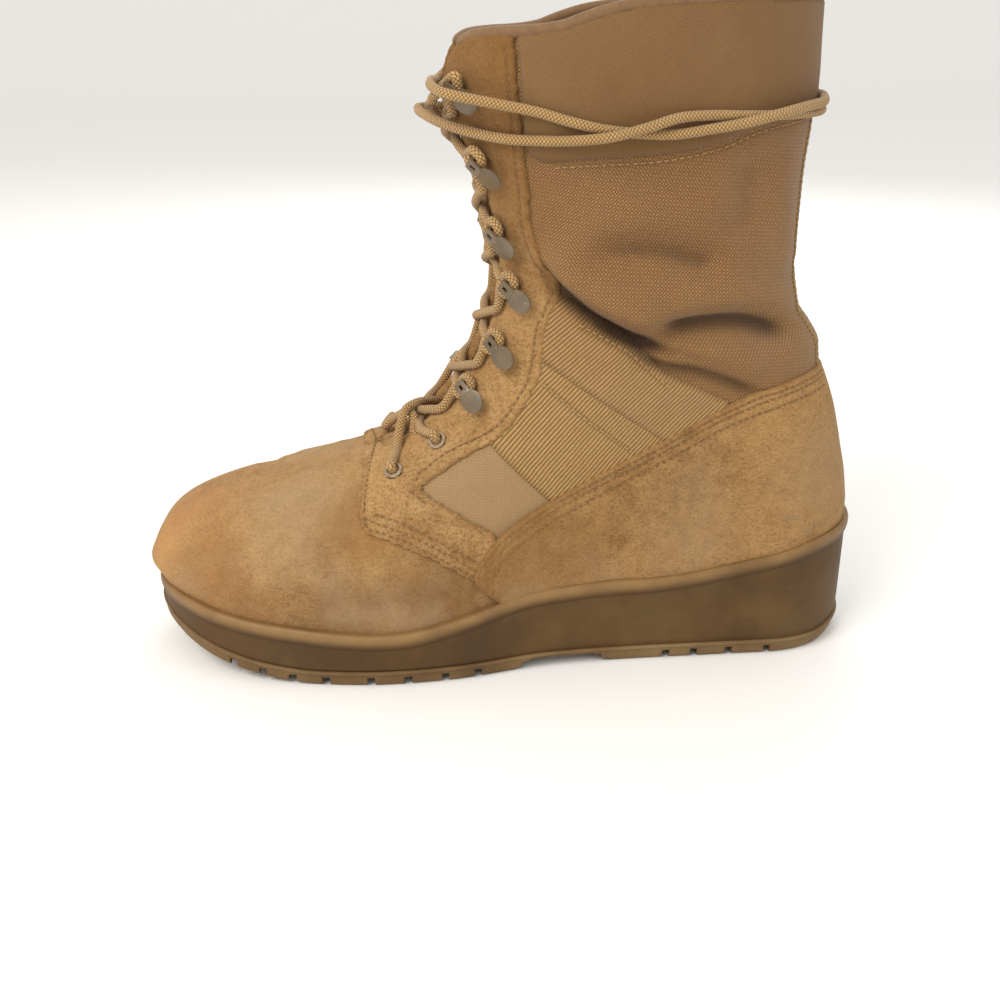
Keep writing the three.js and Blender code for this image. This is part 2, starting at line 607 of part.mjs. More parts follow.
// The free lace, as points chosen by hand on the outside of the collar. Both ends leave the top hooks,
// cross the throat and run once round the shaft in opposite ways, and are tied on the inner side.
const laceWrapRight = [
  [-25.8, 18.2, 234.4], [-27.2, 5.4, 235.8], [-25.8, -7.8, 236.4], [-28.2, -22, 235.8],
  [-23.8, -33.8, 233.4], [-9, -39.2, 230.6], [8.2, -40.8, 227.4], [20.2, -43.8, 224.2], [32.8, -45, 221.4],
  [45.6, -45.6, 220], [58.4, -45.4, 219.6], [71.6, -45.8, 221.4], [84.6, -46.2, 223.6], [97.8, -43, 226.4],
  [108.8, -36, 228.2], [118, -27.2, 229.2], [122.8, -15, 230], [125.6, -2.6, 230.4], [124, 10.2, 230.4],
  [118.6, 21.8, 229.8], [109.6, 31.2, 229.2], [98.4, 37.6, 228.8], [86.2, 42, 228.4], [73.4, 44.2, 227.4],
  [60.8, 45.4, 226.8], [47.8, 46, 226.6], [35, 46.4, 226],
];
const laceWrapLeft = [
  [-27.4, -17, 230.8], [-27, -3.2, 229.2], [-28, 10.2, 225.6], [-22.2, 21.6, 221.2], [-8.2, 30, 218.4],
  [2.6, 36.8, 217.2], [14.6, 41.6, 217], [27.2, 44.2, 217], [40, 45.2, 217.2], [53, 45.2, 217.8],
  [65.8, 44.8, 219], [78.8, 43.6, 220.6], [91.4, 40, 222], [103.6, 34.6, 223.2], [114.6, 26.4, 224.2],
  [122, 15.6, 225], [125.4, 3, 225.4], [123.8, -10.4, 225.6], [118.2, -22.2, 225.6], [109.2, -31.8, 225.6],
  [97.6, -37.8, 225.4], [85.4, -42, 225.6], [72.6, -44.4, 226], [60, -46.4, 225.4], [47.4, -49.6, 222.2],
  [35, -49.2, 219.2], [22.8, -44.8, 217.6], [11, -40, 217.2], [-0.8, -34.8, 217.4], [-11.4, -27.6, 218.8],
  [-22.4, -18.2, 221.2], [-29.4, -5.8, 223.6], [-32.4, 8.4, 225], [-29.6, 21.2, 225], [-13.4, 29.8, 225],
  [-2.2, 36.2, 225], [9.6, 41.4, 225], [22, 45, 225.6],
];
const laceEnds = [
  [[32, 48.5, 221.8], [34.5, 48.5, 215], [36, 48, 206], [36.5, 47, 196], [35.5, 46, 184]],
  [[25, 48.5, 221.8], [22.5, 48.5, 214], [21, 48, 204], [21, 47, 193], [22.5, 46, 179]],
];
const knotCentre = [28.5, 48, 226];
const knotRadii = [5.8, 3.6, 4.5];

const rubber = 0x6b5231;
const suede = 0xb08a55;
const nylon = 0x8f6f49;
const metal = 0x7d6a55;

addPiece('outsole', makeOutsole(), rubber, 0.8);
addPiece('midsole', makeMidsole(), rubber, 0.7);
addPiece('insole', makeInsole(), nylon, 0.9);
addPiece('upper', makeUpper(), suede, 0.95);
addPiece('tongue', makeTongue(), nylon, 0.8);
addPiece('counter', makeCounter(), suede, 0.95);
addPiece('collar', makeCollar(), nylon, 0.9);

const ventSeat = seatOn(makeUpper(), alongFromToe(vent.x), vent.z * bootHeight, 1, ventRadius);
addPiece('drain_vent', placed(eyeletGeometry(ventRadius, eyeletBore, eyeletHeight), ventSeat), metal, 0.5, 0.6);

const seats = { outer: [], inner: [] };
for (const [side, word] of [[-1, 'outer'], [1, 'inner']]) {
  const eyestay = makeEyestay(side);
  addPiece(`eyestay_${word}`, eyestay, suede, 0.95);
  const counts = { eyelet: 0, hook: 0 };
  for (const { kind, x, z, slope } of lacing) {
    const level = seatOn(eyestay, alongFromToe(x), z * bootHeight, side, eyeletRadius);
    const frame = level.multiply(new THREE.Matrix4().makeRotationZ(side * slope));
    counts[kind] += 1;
    const solid = kind === 'hook' ? makeHook(frame)
      : placed(eyeletGeometry(eyeletRadius, eyeletBore, eyeletHeight), frame);
    addPiece(`${kind}_${word}_${counts[kind]}`, solid, metal, 0.5, 0.6);
    seats[word].push({ frame, kind, hand: side });
  }
}

const cover = new THREE.Mesh(geometryFromSolid(upperShell(gap, gap + suedeThickness)), unlit);
for (let k = 0; k + 1 < lacing.length; k += 1) {
  addPiece(`lace_crossing_${k + 1}`, laceCrossing(cover, seats, k), suede, 0.9);
}

// The free lace is left out of the box that the origin is measured on
const box = new THREE.Box3().setFromObject(group);
group.position.set(-(box.min.x + box.max.x) / 2, -(box.min.y + box.max.y) / 2, -box.min.z);

const freeSides = 8;
addPiece('lace_wrap_1', cordSolid(laceWrapRight, freeSides, 36), suede, 0.9);
addPiece('lace_wrap_2', cordSolid(laceWrapLeft, freeSides, 48), suede, 0.9);
addPiece('lace_knot', solidOf(new THREE.SphereGeometry(1, 10, 7).scale(...knotRadii).translate(...knotCentre)),
  suede, 0.9);
laceEnds.forEach((points, i) => (
  addPiece(`lace_end_${i + 1}`, cordSolid(points, freeSides, 6), suede, 0.9)
));

export default group;
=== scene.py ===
# %% [markdown]
# # A worn combat boot in suede and nylon
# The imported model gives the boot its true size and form. Here it gets its fine surfaces: the last's
# curves without facets, cut suede panels, woven cloth, stitch rows, glossy hooks and a braided lace.
# Sizes are written in millimetres, in the same shares of the boot's length and height that the solid
# model uses, and become metres when a mesh is filled in.

# %% Load the frame
import json
import math
import bpy
import numpy as np
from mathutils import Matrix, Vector
from mathutils.geometry import delaunay_2d_cdt

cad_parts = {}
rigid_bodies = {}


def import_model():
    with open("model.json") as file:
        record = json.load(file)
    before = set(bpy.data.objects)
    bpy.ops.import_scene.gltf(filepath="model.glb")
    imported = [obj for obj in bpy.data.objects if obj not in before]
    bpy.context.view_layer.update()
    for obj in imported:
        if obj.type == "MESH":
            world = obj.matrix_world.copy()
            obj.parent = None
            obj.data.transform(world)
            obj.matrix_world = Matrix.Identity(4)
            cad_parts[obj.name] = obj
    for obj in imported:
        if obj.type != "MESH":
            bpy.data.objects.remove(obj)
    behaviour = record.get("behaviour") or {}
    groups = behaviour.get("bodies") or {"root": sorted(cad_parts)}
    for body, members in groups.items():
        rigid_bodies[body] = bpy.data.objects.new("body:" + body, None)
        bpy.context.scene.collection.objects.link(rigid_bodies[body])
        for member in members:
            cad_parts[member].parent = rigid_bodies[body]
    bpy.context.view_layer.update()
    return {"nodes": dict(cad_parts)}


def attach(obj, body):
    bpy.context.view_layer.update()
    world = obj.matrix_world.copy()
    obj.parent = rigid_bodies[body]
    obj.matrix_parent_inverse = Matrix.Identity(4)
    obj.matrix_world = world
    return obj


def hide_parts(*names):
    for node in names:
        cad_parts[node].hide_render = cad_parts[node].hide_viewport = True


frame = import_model()
print("frame:", len(frame["nodes"]), "nodes")

# %% [markdown]
# ## Camera
# The picture was taken from a little above the boot, nearly square to its outer side. The camera's
# place was fitted to the sole's two ends, the collar and the hooks.

# %% Place the camera
camera = bpy.data.objects.new("camera", bpy.data.cameras.new("camera"))
bpy.context.scene.collection.objects.link(camera)
camera.location = (-0.03905, -0.47335, 0.2583)
camera.rotation_euler = (math.radians(67.38), 0, math.radians(-4.62))
camera.data.lens = 41.67
camera.data.sensor_width = 36
camera.data.clip_start = 0.01
bpy.context.scene.camera = camera

# %% [markdown]
# ## The form of the boot
# A shoe is built round a last. Its upper is described by sections that fan out from the heel: each has
# a front and a back point and half widths along its way. Every number changes smoothly from one
# section to the next, so any point of the surface can be worked out, and fine meshes follow it.

# %% Driving sizes and smooth curves
SOLE_LENGTH = 311.0
BALL_WIDTH = 112.0
BOOT_HEIGHT = 266.0
TOE_X = -SOLE_LENGTH / 2
SHIFT_Y = -0.446          # the boot's own box is centred on the origin
LIP_INSET = 3.9
TREAD = 7.0
THROAT_BOTTOM_GAP, THROAT_TOP_GAP = 16.0, 27.0
THROAT_BOTTOM_Z = 0.337 * BOOT_HEIGHT


def through(rows, position):
    """A smooth curve through rows of [position, value, ...], flat beyond its ends."""
    rows = np.asarray(rows, float)
    at, values = rows[:, 0], rows[:, 1:]
    slopes = np.empty_like(values)
    slopes[1:-1] = (values[2:] - values[:-2]) / (at[2:] - at[:-2])[:, None]
    slopes[0] = (values[1] - values[0]) / (at[1] - at[0])
    slopes[-1] = (values[-1] - values[-2]) / (at[-1] - at[-2])
    x = np.clip(np.asarray(position, float), at[0], at[-1])
    i = np.clip(np.searchsorted(at, x, side="right") - 1, 0, len(at) - 2)
    h = (at[i + 1] - at[i])[..., None]
    u = (x - at[i])[..., None] / h
    result = ((2 * u**3 - 3 * u**2 + 1) * values[i] + (u**3 - 2 * u**2 + u) * h * slopes[i]
              + (3 * u**2 - 2 * u**3) * values[i + 1] + (u**3 - u**2) * h * slopes[i + 1])
    return result[..., 0] if values.shape[1] == 1 else result


def cap(share, roundness):
    """A rounded end: 0 at its tip and 1 from its length on."""
    return (1 - (1 - np.clip(share, 0, 1)) ** roundness) ** (1 / roundness)


def smoothstep(low, high, x):
    t = np.clip((x - low) / (high - low), 0, 1)
    return t * t * (3 - 2 * t)


# %% [markdown]
# ### The sole's outline
# Seen from above, a sole is one closed curve, wide at the ball and narrow at the arch. It could be drawn as a
# Bezier curve. Here its half widths are listed by share of the length, so that the wall, the tread, the insole
# and the upper's lower edge all read the same curve and meet.

# %% The sole's outline and heights
SOLE_OUTER = [[0, 0.40], [0.12, 0.445], [0.30, 0.5], [0.42, 0.475], [0.56, 0.39], [0.8, 0.365], [1, 0.365]]
SOLE_INNER = [[0, 0.42], [0.12, 0.45], [0.25, 0.475], [0.38, 0.42], [0.53, 0.31], [0.66, 0.305],
              [0.8, 0.345], [1, 0.345]]
SOLE_TOP = [[0, 0.128], [0.06, 0.124], [0.12, 0.114], [0.2, 0.101], [0.27, 0.093], [0.36, 0.092],
            [0.44, 0.113], [0.51, 0.133], [0.58, 0.142], [0.63, 0.146], [0.7, 0.149], [0.78, 0.162],
            [0.865, 0.182], [0.93, 0.2], [1, 0.21]]
SOLE_BOTTOM = [[0, 0.066], [0.06, 0.042], [0.13, 0.018], [0.2, 0.004], [0.24, 0], [0.93, 0], [1, 0.012]]
FOOT_BED = [[0, 0.1], [0.1, 0.07], [0.26, 0.052], [0.45, 0.058], [0.7, 0.1], [1, 0.105]]


def share_of(x):
    return (x - TOE_X) / SOLE_LENGTH


def sole_top(x):
    return BOOT_HEIGHT * through(SOLE_TOP, share_of(x))


def sole_bottom(x):
    return BOOT_HEIGHT * np.maximum(0, through(SOLE_BOTTOM, share_of(x)))


def foot_bed(x):
    return BOOT_HEIGHT * through(FOOT_BED, share_of(x))


def sole_outline(turn, inset=0.0):
    """Points x, y round the sole at turns from 0 at the toe over the outer side to 2 pi."""
    def plain(t):
        share = (1 - np.cos(t)) / 2
        outer = np.mod(t, 2 * np.pi) < np.pi
        x = TOE_X + share * SOLE_LENGTH
        width = np.where(outer, through(SOLE_OUTER, share), through(SOLE_INNER, share))
        half = BALL_WIDTH * width * cap(share / 0.2, 2.2) * cap((1 - share) / 0.14, 2.1)
        lean = BALL_WIDTH * 0.06 * np.maximum(0, 1 - 2 * share) ** 1.5
        return x, lean + np.where(outer, -half, half)
    x, y = plain(turn)
    step = 2 * np.pi / 36
    ax, ay = plain(turn + step)
    bx, by = plain(turn - step)
    length = np.hypot(ax - bx, ay - by)
    return x - (ay - by) / length * inset, y + (ax - bx) / length * inset


# %% [markdown]
# ### The upper's sections
# The upper could be sculpted, but then its panels would have nothing exact to lie on. Twenty sections from the
# toe to the collar describe it instead, and `form` gives the point at any place between them.

# %% The upper's sections
# Columns: front x, front z, back x, back z, nose, tail, three outer and three inner half widths,
# swing to the inner side, and how far the section is pulled to the sole's outline
SECTIONS = np.array([
    [0.002, 0.158, 0.987, 0.244, 0.20, 0.142, 0.470, 0.395, 0.335, 0.455, 0.335, 0.325, 0.06, 0.6],
    [0.016, 0.192, 0.981, 0.286, 0.22, 0.145, 0.440, 0.380, 0.326, 0.430, 0.335, 0.318, 0.055, 0.3],
    [0.036, 0.226, 0.973, 0.323, 0.25, 0.145, 0.400, 0.370, 0.318, 0.395, 0.335, 0.312, 0.05, 0.1],
    [0.065, 0.250, 0.966, 0.357, 0.28, 0.145, 0.355, 0.360, 0.310, 0.355, 0.335, 0.306, 0.045, 0],
    [0.107, 0.266, 0.958, 0.391, 0.30, 0.145, 0.325, 0.352, 0.304, 0.325, 0.333, 0.300, 0.04, 0],
    [0.161, 0.278, 0.950, 0.417, 0.30, 0.143, 0.315, 0.344, 0.298, 0.315, 0.330, 0.294, 0.035, 0],
    [0.220, 0.296, 0.942, 0.440, 0.29, 0.141, 0.315, 0.338, 0.292, 0.315, 0.326, 0.288, 0.03, 0],
    [0.277, 0.314, 0.935, 0.459, 0.28, 0.140, 0.318, 0.332, 0.286, 0.318, 0.322, 0.284, 0.02, 0],
    [0.330, 0.335, 0.931, 0.481, 0.27, 0.138, 0.320, 0.328, 0.282, 0.320, 0.320, 0.280, 0.01, 0],
    [0.376, 0.366, 0.928, 0.504, 0.25, 0.137, 0.320, 0.325, 0.280, 0.320, 0.320, 0.278, 0, 0],
    [0.414, 0.408, 0.914, 0.530, 0.23, 0.136, 0.318, 0.323, 0.279, 0.318, 0.319, 0.277, 0, 0],
    [0.447, 0.460, 0.897, 0.557, 0.21, 0.136, 0.316, 0.322, 0.280, 0.316, 0.320, 0.279, 0, 0],
    [0.473, 0.520, 0.888, 0.596, 0.19, 0.137, 0.320, 0.325, 0.284, 0.320, 0.324, 0.284, 0, 0],
    [0.488, 0.586, 0.884, 0.648, 0.178, 0.138, 0.328, 0.332, 0.292, 0.328, 0.332, 0.292, 0, 0],
    [0.490, 0.656, 0.884, 0.708, 0.172, 0.140, 0.338, 0.342, 0.302, 0.338, 0.342, 0.302, 0, 0],
    [0.476, 0.727, 0.885, 0.768, 0.172, 0.142, 0.348, 0.352, 0.314, 0.348, 0.352, 0.314, 0, 0],
    [0.449, 0.800, 0.889, 0.829, 0.175, 0.145, 0.358, 0.362, 0.326, 0.358, 0.362, 0.326, 0, 0],
    [0.425, 0.875, 0.890, 0.894, 0.178, 0.148, 0.364, 0.370, 0.336, 0.364, 0.370, 0.336, 0, 0],
    [0.427, 0.928, 0.888, 0.948, 0.178, 0.15, 0.366, 0.374, 0.342, 0.366, 0.374, 0.342, 0, 0],
    [0.441, 0.985, 0.886, 1.02, 0.176, 0.15, 0.366, 0.376, 0.346, 0.366, 0.376, 0.346, 0, 0],
])
LAST_ROW = len(SECTIONS) - 1.0


def three_widths(share, widths):
    """A smooth curve through half widths at 0.18, 0.55 and 0.85 of a section's way."""
    a, b, c = widths[..., 0], widths[..., 1], widths[..., 2]
    s = np.clip(share, 0.18, 0.85)
    front = s < 0.55
    start, end = np.where(front, 0.18, 0.55), np.where(front, 0.55, 0.85)
    y0, y1 = np.where(front, a, b), np.where(front, b, c)
    middle = (c - a) / 0.67
    m0, m1 = np.where(front, (b - a) / 0.37, middle), np.where(front, middle, (c - b) / 0.30)
    h = end - start
    u = (s - start) / h
    return ((2 * u**3 - 3 * u**2 + 1) * y0 + (u**3 - 2 * u**2 + u) * h * m0
            + (3 * u**2 - 2 * u**3) * y1 + (u**3 - u**2) * h * m1)


def section_points(turn, row):
    values = through(np.column_stack([np.arange(len(SECTIONS)), SECTIONS]), row)
    front, back = TOE_X + values[..., 0] * SOLE_LENGTH, TOE_X + values[..., 2] * SOLE_LENGTH
    share = (1 - np.cos(turn)) / 2
    outer = turn < np.pi
    x = front + share * (back - front)
    width = np.where(outer, three_widths(share, values[..., 6:9]), three_widths(share, values[..., 9:12]))
    half = (BALL_WIDTH * width * cap((x - front) / (values[..., 4] * SOLE_LENGTH), 2.05)
            * cap((back - x) / (values[..., 5] * SOLE_LENGTH), 2.1))
    y = BALL_WIDTH * values[..., 12] * np.maximum(0, 1 - 2 * share) ** 1.5 + np.where(outer, -half, half)
    y = y + values[..., 13] * (sole_outline(turn, LIP_INSET)[1] - y)
    z = BOOT_HEIGHT * (values[..., 1] + share * (values[..., 3] - values[..., 1]))
    return np.stack([x, y, z], -1)


def feather(turn):
    """Where the upper meets the sole's lip."""
    x, y = sole_outline(turn, LIP_INSET)
    return np.stack([x, y, sole_top(x) + 0.3], -1)


# Turns spread so that points lie evenly round a ring at the ankle
_turns = np.linspace(0, 2 * np.pi, 1441)
_ring = section_points(_turns, np.full(1441, 5.0))
_along = np.concatenate([[0], np.cumsum(np.linalg.norm(np.diff(_ring, axis=0), axis=1))])
_along /= _along[-1]
_middle = np.interp(np.pi, _turns, _along)


def turn_at(u):
    """u is 0 at the front, 0.5 at the back and 1 at the front again."""
    w = np.mod(u, 1.0)
    spread = np.where(w < 0.5, w * 2 * _middle, _middle + (w - 0.5) * 2 * (1 - _middle))
    return np.interp(spread, _along, _turns)


def form(u, v):
    """The upper's plain outside at u round it and row v, from -1 at the lip to the collar's top."""
    turn = turn_at(u)
    above = section_points(turn, np.clip(v, 0, LAST_ROW))
    low = feather(turn)
    first = section_points(turn, np.zeros_like(v))
    slope = section_points(turn, np.full_like(v, 0.02))
    t = np.clip(v + 1, 0, 1)[..., None]
    rise = (slope - first) / 0.02
    lower = ((2 * t**3 - 3 * t**2 + 1) * low + (t**3 - 2 * t**2 + t) * (first - low)
             + (3 * t**2 - 2 * t**3) * first + (t**3 - t**2) * rise)
    points = np.where((v < 0)[..., None], lower, above)
    points[..., 2] += 9 * np.minimum(0, v + 1)
    return points


def outward(u, v):
    """Unit normals of the plain form."""
    e, f = 0.0015, 0.04
    across = form(u + e, v) - form(u - e, v)
    up = form(u, np.minimum(v + f, LAST_ROW)) - form(u, v - f)
    normal = np.cross(across, up)
    return normal / np.linalg.norm(normal, axis=-1, keepdims=True)


print("ring at the ankle:", round(float(np.sum(np.linalg.norm(np.diff(_ring, axis=0), axis=1)))), "mm round")

# %% [markdown]
# ## From the side view to the surface
# A pattern cutter draws a boot's panels in its side view. Their outlines are given there, as shares of
# length and height, and each point is then found on the surface by stepping towards it.

# %% Find surface places from side-view points
_U, _V = np.meshgrid(np.linspace(0, 1, 361)[:-1], np.linspace(-1.4, LAST_ROW, 240))
_P = form(_U.ravel(), _V.ravel())
_flat_u, _flat_v = _U.ravel(), _V.ravel()


def locate(points, side):
    """u, v of side-view points (share of length, share of height) on the outer (-1) or inner side (1)."""
    points = np.asarray(points, float)
    x, z = TOE_X + points[:, 0] * SOLE_LENGTH, points[:, 1] * BOOT_HEIGHT
    mine = _flat_u < 0.5 if side < 0 else _flat_u > 0.5
    px, pz, pu, pv = _P[mine, 0], _P[mine, 2], _flat_u[mine], _flat_v[mine]
    best = [int(np.argmin((px - a) ** 2 + (pz - b) ** 2)) for a, b in zip(x, z)]
    u, v = pu[best].copy(), pv[best].copy()
    for _ in range(6):
        e, f = 0.0005, 0.01
        here = form(u, v)
        du = (form(u + e, v) - form(u - e, v)) / (2 * e)
        dv = (form(u, v + f) - form(u, v - f)) / (2 * f)
        rx, rz = x - here[:, 0], z - here[:, 2]
        # damped least squares, so that it stays calm where the surface turns away
        a11 = du[:, 0] ** 2 + du[:, 2] ** 2 + 400
        a22 = dv[:, 0] ** 2 + dv[:, 2] ** 2 + 0.5
        a12 = du[:, 0] * dv[:, 0] + du[:, 2] * dv[:, 2]
        b1, b2 = du[:, 0] * rx + du[:, 2] * rz, dv[:, 0] * rx + dv[:, 2] * rz
        det = a11 * a22 - a12**2
        u = u + np.clip((a22 * b1 - a12 * b2) / det, -0.01, 0.01)
        v = v + np.clip((a11 * b2 - a12 * b1) / det, -0.4, 0.4)
        u = np.clip(u, 0, 0.5) if side < 0 else np.clip(u, 0.5, 1)
        v = np.clip(v, -1.4, LAST_ROW)
    return np.column_stack([u, v])


def eased(points, rounds=2, closed=False):
    """Corners of a polyline cut back twice, which rounds it."""
    p = np.asarray(points, float)
    for _ in range(rounds):
        q = np.vstack([p, p[:1]]) if closed else p
        cut = np.stack([0.75 * q[:-1] + 0.25 * q[1:], 0.25 * q[:-1] + 0.75 * q[1:]], 1).reshape(-1, p.shape[1])
        p = cut if closed else np.vstack([p[:1], cut[1:-1], p[-1:]])
    return p


def dense(line, step=3.0, closed=False):
    """A side-view line in shares with a point every few millimetres, so that it keeps its shape on the boot."""
    p = np.asarray(line, float)
    if closed:
        p = np.vstack([p, p[:1]])
    p = resampled(np.column_stack([p * [SOLE_LENGTH, BOOT_HEIGHT], np.zeros(len(p))]), step)[:, :2]
    p = p / [SOLE_LENGTH, BOOT_HEIGHT]
    return p[:-1] if closed else p


def resampled(points, step):
    """Points of a polyline at about equal steps, measured in its first three columns."""
    p = np.asarray(points, float)
    length = np.concatenate([[0], np.cumsum(np.linalg.norm(np.diff(p[:, :3], axis=0), axis=1))])
    count = max(2, int(round(length[-1] / step)) + 1)
    at = np.linspace(0, length[-1], count)
    return np.column_stack([np.interp(at, length, p[:, k]) for k in range(p.shape[1])])


def half_gap(z):
    """Half the throat's width at a height."""
    t = (z - THROAT_BOTTOM_Z) / (1.05 * BOOT_HEIGHT - THROAT_BOTTOM_Z)
    return 0.5 * (THROAT_BOTTOM_GAP + np.clip(t, -0.05, 1) * (THROAT_TOP_GAP - THROAT_BOTTOM_GAP))


def throat_edge(rows, extra=0.0, side=-1):
    """u, v along the throat's edge, or extra millimetres beside it."""
    found = []
    for v in rows:
        u = np.linspace(0.0, 0.2, 400)
        p = form(u if side < 0 else 1 - u, np.full(400, float(v)))
        beyond = np.abs(p[:, 1]) - half_gap(p[:, 2]) - extra
        k = int(np.argmax(beyond > 0))
        found.append([u[k] if side < 0 else 1 - u[k], v])
    return np.array(found)


front_v = np.linspace(-1.2, LAST_ROW, 900)
front_line = form(np.zeros(900), front_v)


def front_row(share):
    """The row whose front point lies at a share of the length, on the way up the vamp."""
    rising = slice(0, 620)
    return float(np.interp(TOE_X + share * SOLE_LENGTH, front_line[rising, 0], front_v[rising]))


print("front row under the lowest eyelets:", round(front_row(0.303), 2))

# %% [markdown]
# ## Folds and hollows
# A worn shaft sags over the ankle. Every fold is listed: a line in the side view, its height
# (a hollow is negative) and its width above and below the line, in millimetres. A fold that is
# narrower below than above hangs over like cloth. The same relief moves all layers, so they stay together.

# %% Relief
# Columns: side (-1 outer, 1 inner, 0 both), height, width above, width below, points of the line
FOLDS = [
    (-1, 4.2, 13, 4.0, [(0.530, 0.672), (0.566, 0.628), (0.604, 0.598), (0.655, 0.566), (0.700, 0.553)]),
    (-1, -6.2, 2.0, 5.5, [(0.538, 0.643), (0.557, 0.616), (0.576, 0.592), (0.612, 0.561), (0.664, 0.530), (0.705, 0.514)]),
    (-1, -2.6, 1.6, 3.5, [(0.600, 0.568), (0.664, 0.530), (0.720, 0.508), (0.765, 0.495)]),
    (-1, 3.4, 9.0, 3.0, [(0.552, 0.662), (0.578, 0.622), (0.618, 0.588), (0.668, 0.562), (0.720, 0.541)]),
    (-1, 3.0, 8, 3.0, [(0.670, 0.578), (0.735, 0.588), (0.800, 0.590), (0.855, 0.572), (0.895, 0.552)]),
    (-1, -5.4, 2.0, 7.0, [(0.655, 0.548), (0.735, 0.559), (0.797, 0.562), (0.850, 0.544), (0.895, 0.524)]),
    (-1, 2.2, 5, 3, [(0.705, 0.512), (0.750, 0.508), (0.795, 0.494), (0.840, 0.468)]),
    (-1, -4.2, 1.8, 5, [(0.640, 0.520), (0.698, 0.490), (0.751, 0.481), (0.800, 0.457), (0.855, 0.428)]),
    (-1, 1.2, 9, 7, [(0.585, 0.700), (0.640, 0.715), (0.700, 0.712), (0.770, 0.700)]),
    (-1, -3.8, 6.5, 5.5, [(0.580, 0.635), (0.625, 0.660), (0.680, 0.664), (0.730, 0.648), (0.780, 0.630)]),
    (-1, -2.6, 9, 9, [(0.790, 0.800), (0.795, 0.740), (0.790, 0.670)]),
    (-1, 1.6, 7, 7, [(0.835, 0.800), (0.850, 0.700), (0.862, 0.600)]),
    (-1, -2.0, 4, 3, [(0.500, 0.650), (0.528, 0.636), (0.562, 0.622)]),
    (-1, 1.1, 12, 9, [(0.215, 0.260), (0.255, 0.262), (0.295, 0.250)]),
    (-1, -1.3, 9, 8, [(0.130, 0.235), (0.150, 0.205), (0.175, 0.175)]),
    (-1, -1.5, 6, 6, [(0.300, 0.150), (0.350, 0.138), (0.400, 0.128), (0.440, 0.125)]),
    (0, -1.2, 9, 9, [(0.170, 0.300), (0.180, 0.290), (0.190, 0.280)]),
    (0, 1.1, 10, 10, [(0.275, 0.345), (0.285, 0.335), (0.295, 0.325)]),
    (1, 1.1, 12, 9, [(0.200, 0.250), (0.245, 0.255), (0.290, 0.240)]),
    (1, -1.4, 6, 6, [(0.300, 0.150), (0.350, 0.140), (0.400, 0.130)]),
    (-1, -0.9, 5, 5, [(0.352, 0.150), (0.385, 0.135), (0.410, 0.128)]),
    (-1, -1.0, 8, 5, [(0.250, 0.235), (0.285, 0.200), (0.310, 0.170)]),
    (-1, -0.8, 5, 5, [(0.600, 0.500), (0.640, 0.470), (0.690, 0.440)]),
    (1, 3.2, 12, 5, [(0.540, 0.650), (0.604, 0.600), (0.680, 0.575), (0.760, 0.580)]),
    (1, -3.2, 4, 7, [(0.545, 0.610), (0.604, 0.565), (0.680, 0.540), (0.760, 0.548)]),
    (1, 2.0, 8, 5, [(0.700, 0.520), (0.760, 0.500), (0.830, 0.500)]),
    (1, -1.6, 4, 6, [(0.690, 0.495), (0.760, 0.470), (0.830, 0.470)]),
    (1, -1.8, 9, 7, [(0.580, 0.715), (0.660, 0.730), (0.740, 0.715)]),
    (1, -1.2, 6, 3, [(0.500, 0.640), (0.530, 0.628), (0.560, 0.618)]),
    (0, -1.3, 7, 7, [(0.890, 0.600), (0.900, 0.610), (0.905, 0.620)]),
]


def prepared(fold):
    side, height, above, below, line = fold
    points = eased([(TOE_X + x * SOLE_LENGTH, z * BOOT_HEIGHT) for x, z in line])
    return side, height, above, below, points


_FOLDS = [prepared(fold) for fold in FOLDS]


def relief(p):
    """How far the folds move points of the plain form along its normal."""
    total = np.zeros(len(p))
    for side, height, above, below, line in _FOLDS:
        reach = 2.6 * max(above, below)
        low, high = line.min(0) - reach, line.max(0) + reach
        near = (p[:, 0] > low[0]) & (p[:, 0] < high[0]) & (p[:, 2] > low[1]) & (p[:, 2] < high[1])
        if side:
            near &= p[:, 1] * side > -6
        if not near.any():
            continue
        q = p[near][:, [0, 2]]
        best, over, share = np.full(len(q), 1e9), np.zeros(len(q)), np.zeros(len(q))
        steps = np.diff(line, axis=0)
        lengths = np.linalg.norm(steps, axis=1)
        before = np.concatenate([[0], np.cumsum(lengths)])
        for k, (start, step, length) in enumerate(zip(line[:-1], steps, lengths)):
            t = np.clip(((q - start) @ step) / length**2, 0, 1)
            away = q - start - t[:, None] * step
            d = np.hypot(away[:, 0], away[:, 1])
            closer = d < best
            best[closer] = d[closer]
            over[closer] = away[closer, 1]
            share[closer] = (before[k] + t[closer] * length) / before[-1]
        width = np.where(over > 0, above, below)
        taper = smoothstep(0, 0.25, share + 0.02) * smoothstep(0, 0.25, 1.02 - share)
        if side:
            taper = taper * smoothstep(-6, 16, p[near][:, 1] * side)
        total[near] += height * taper * np.exp(-((best / width) ** 2))
    return total


def hollow(u, v):
    """How deep in a fold places lie, for the painted shade that darkens the folds."""
    return np.clip(-relief(form(np.asarray(u, float), np.asarray(v, float))) - 1.5, 0, 6)


def on_boot(u, v, lift=0.0):
    """Points at a lift over the folded surface, and the plain form's normals."""
    u, v = np.asarray(u, float), np.asarray(v, float)
    p, n = form(u, v), outward(u, v)
    p = p + n * (lift + relief(p))[:, None]
    return p, n


# %% [markdown]
# ## Cloth and leather panels
# A panel is cut from flat stock, so its edge is crisp while its inside follows the boot. The outline is
# filled with evenly spaced points, which are joined into triangles that keep the outline exactly, and the
# rim is turned down to what lies below. Its distance from the rim and from its stitch rows is kept for
# the material, and a second map measures the cloth along and across in real millimetres.

# %% Helpers that fill a mesh
def deselect():
    bpy.ops.object.select_all(action="DESELECT")


deselect()


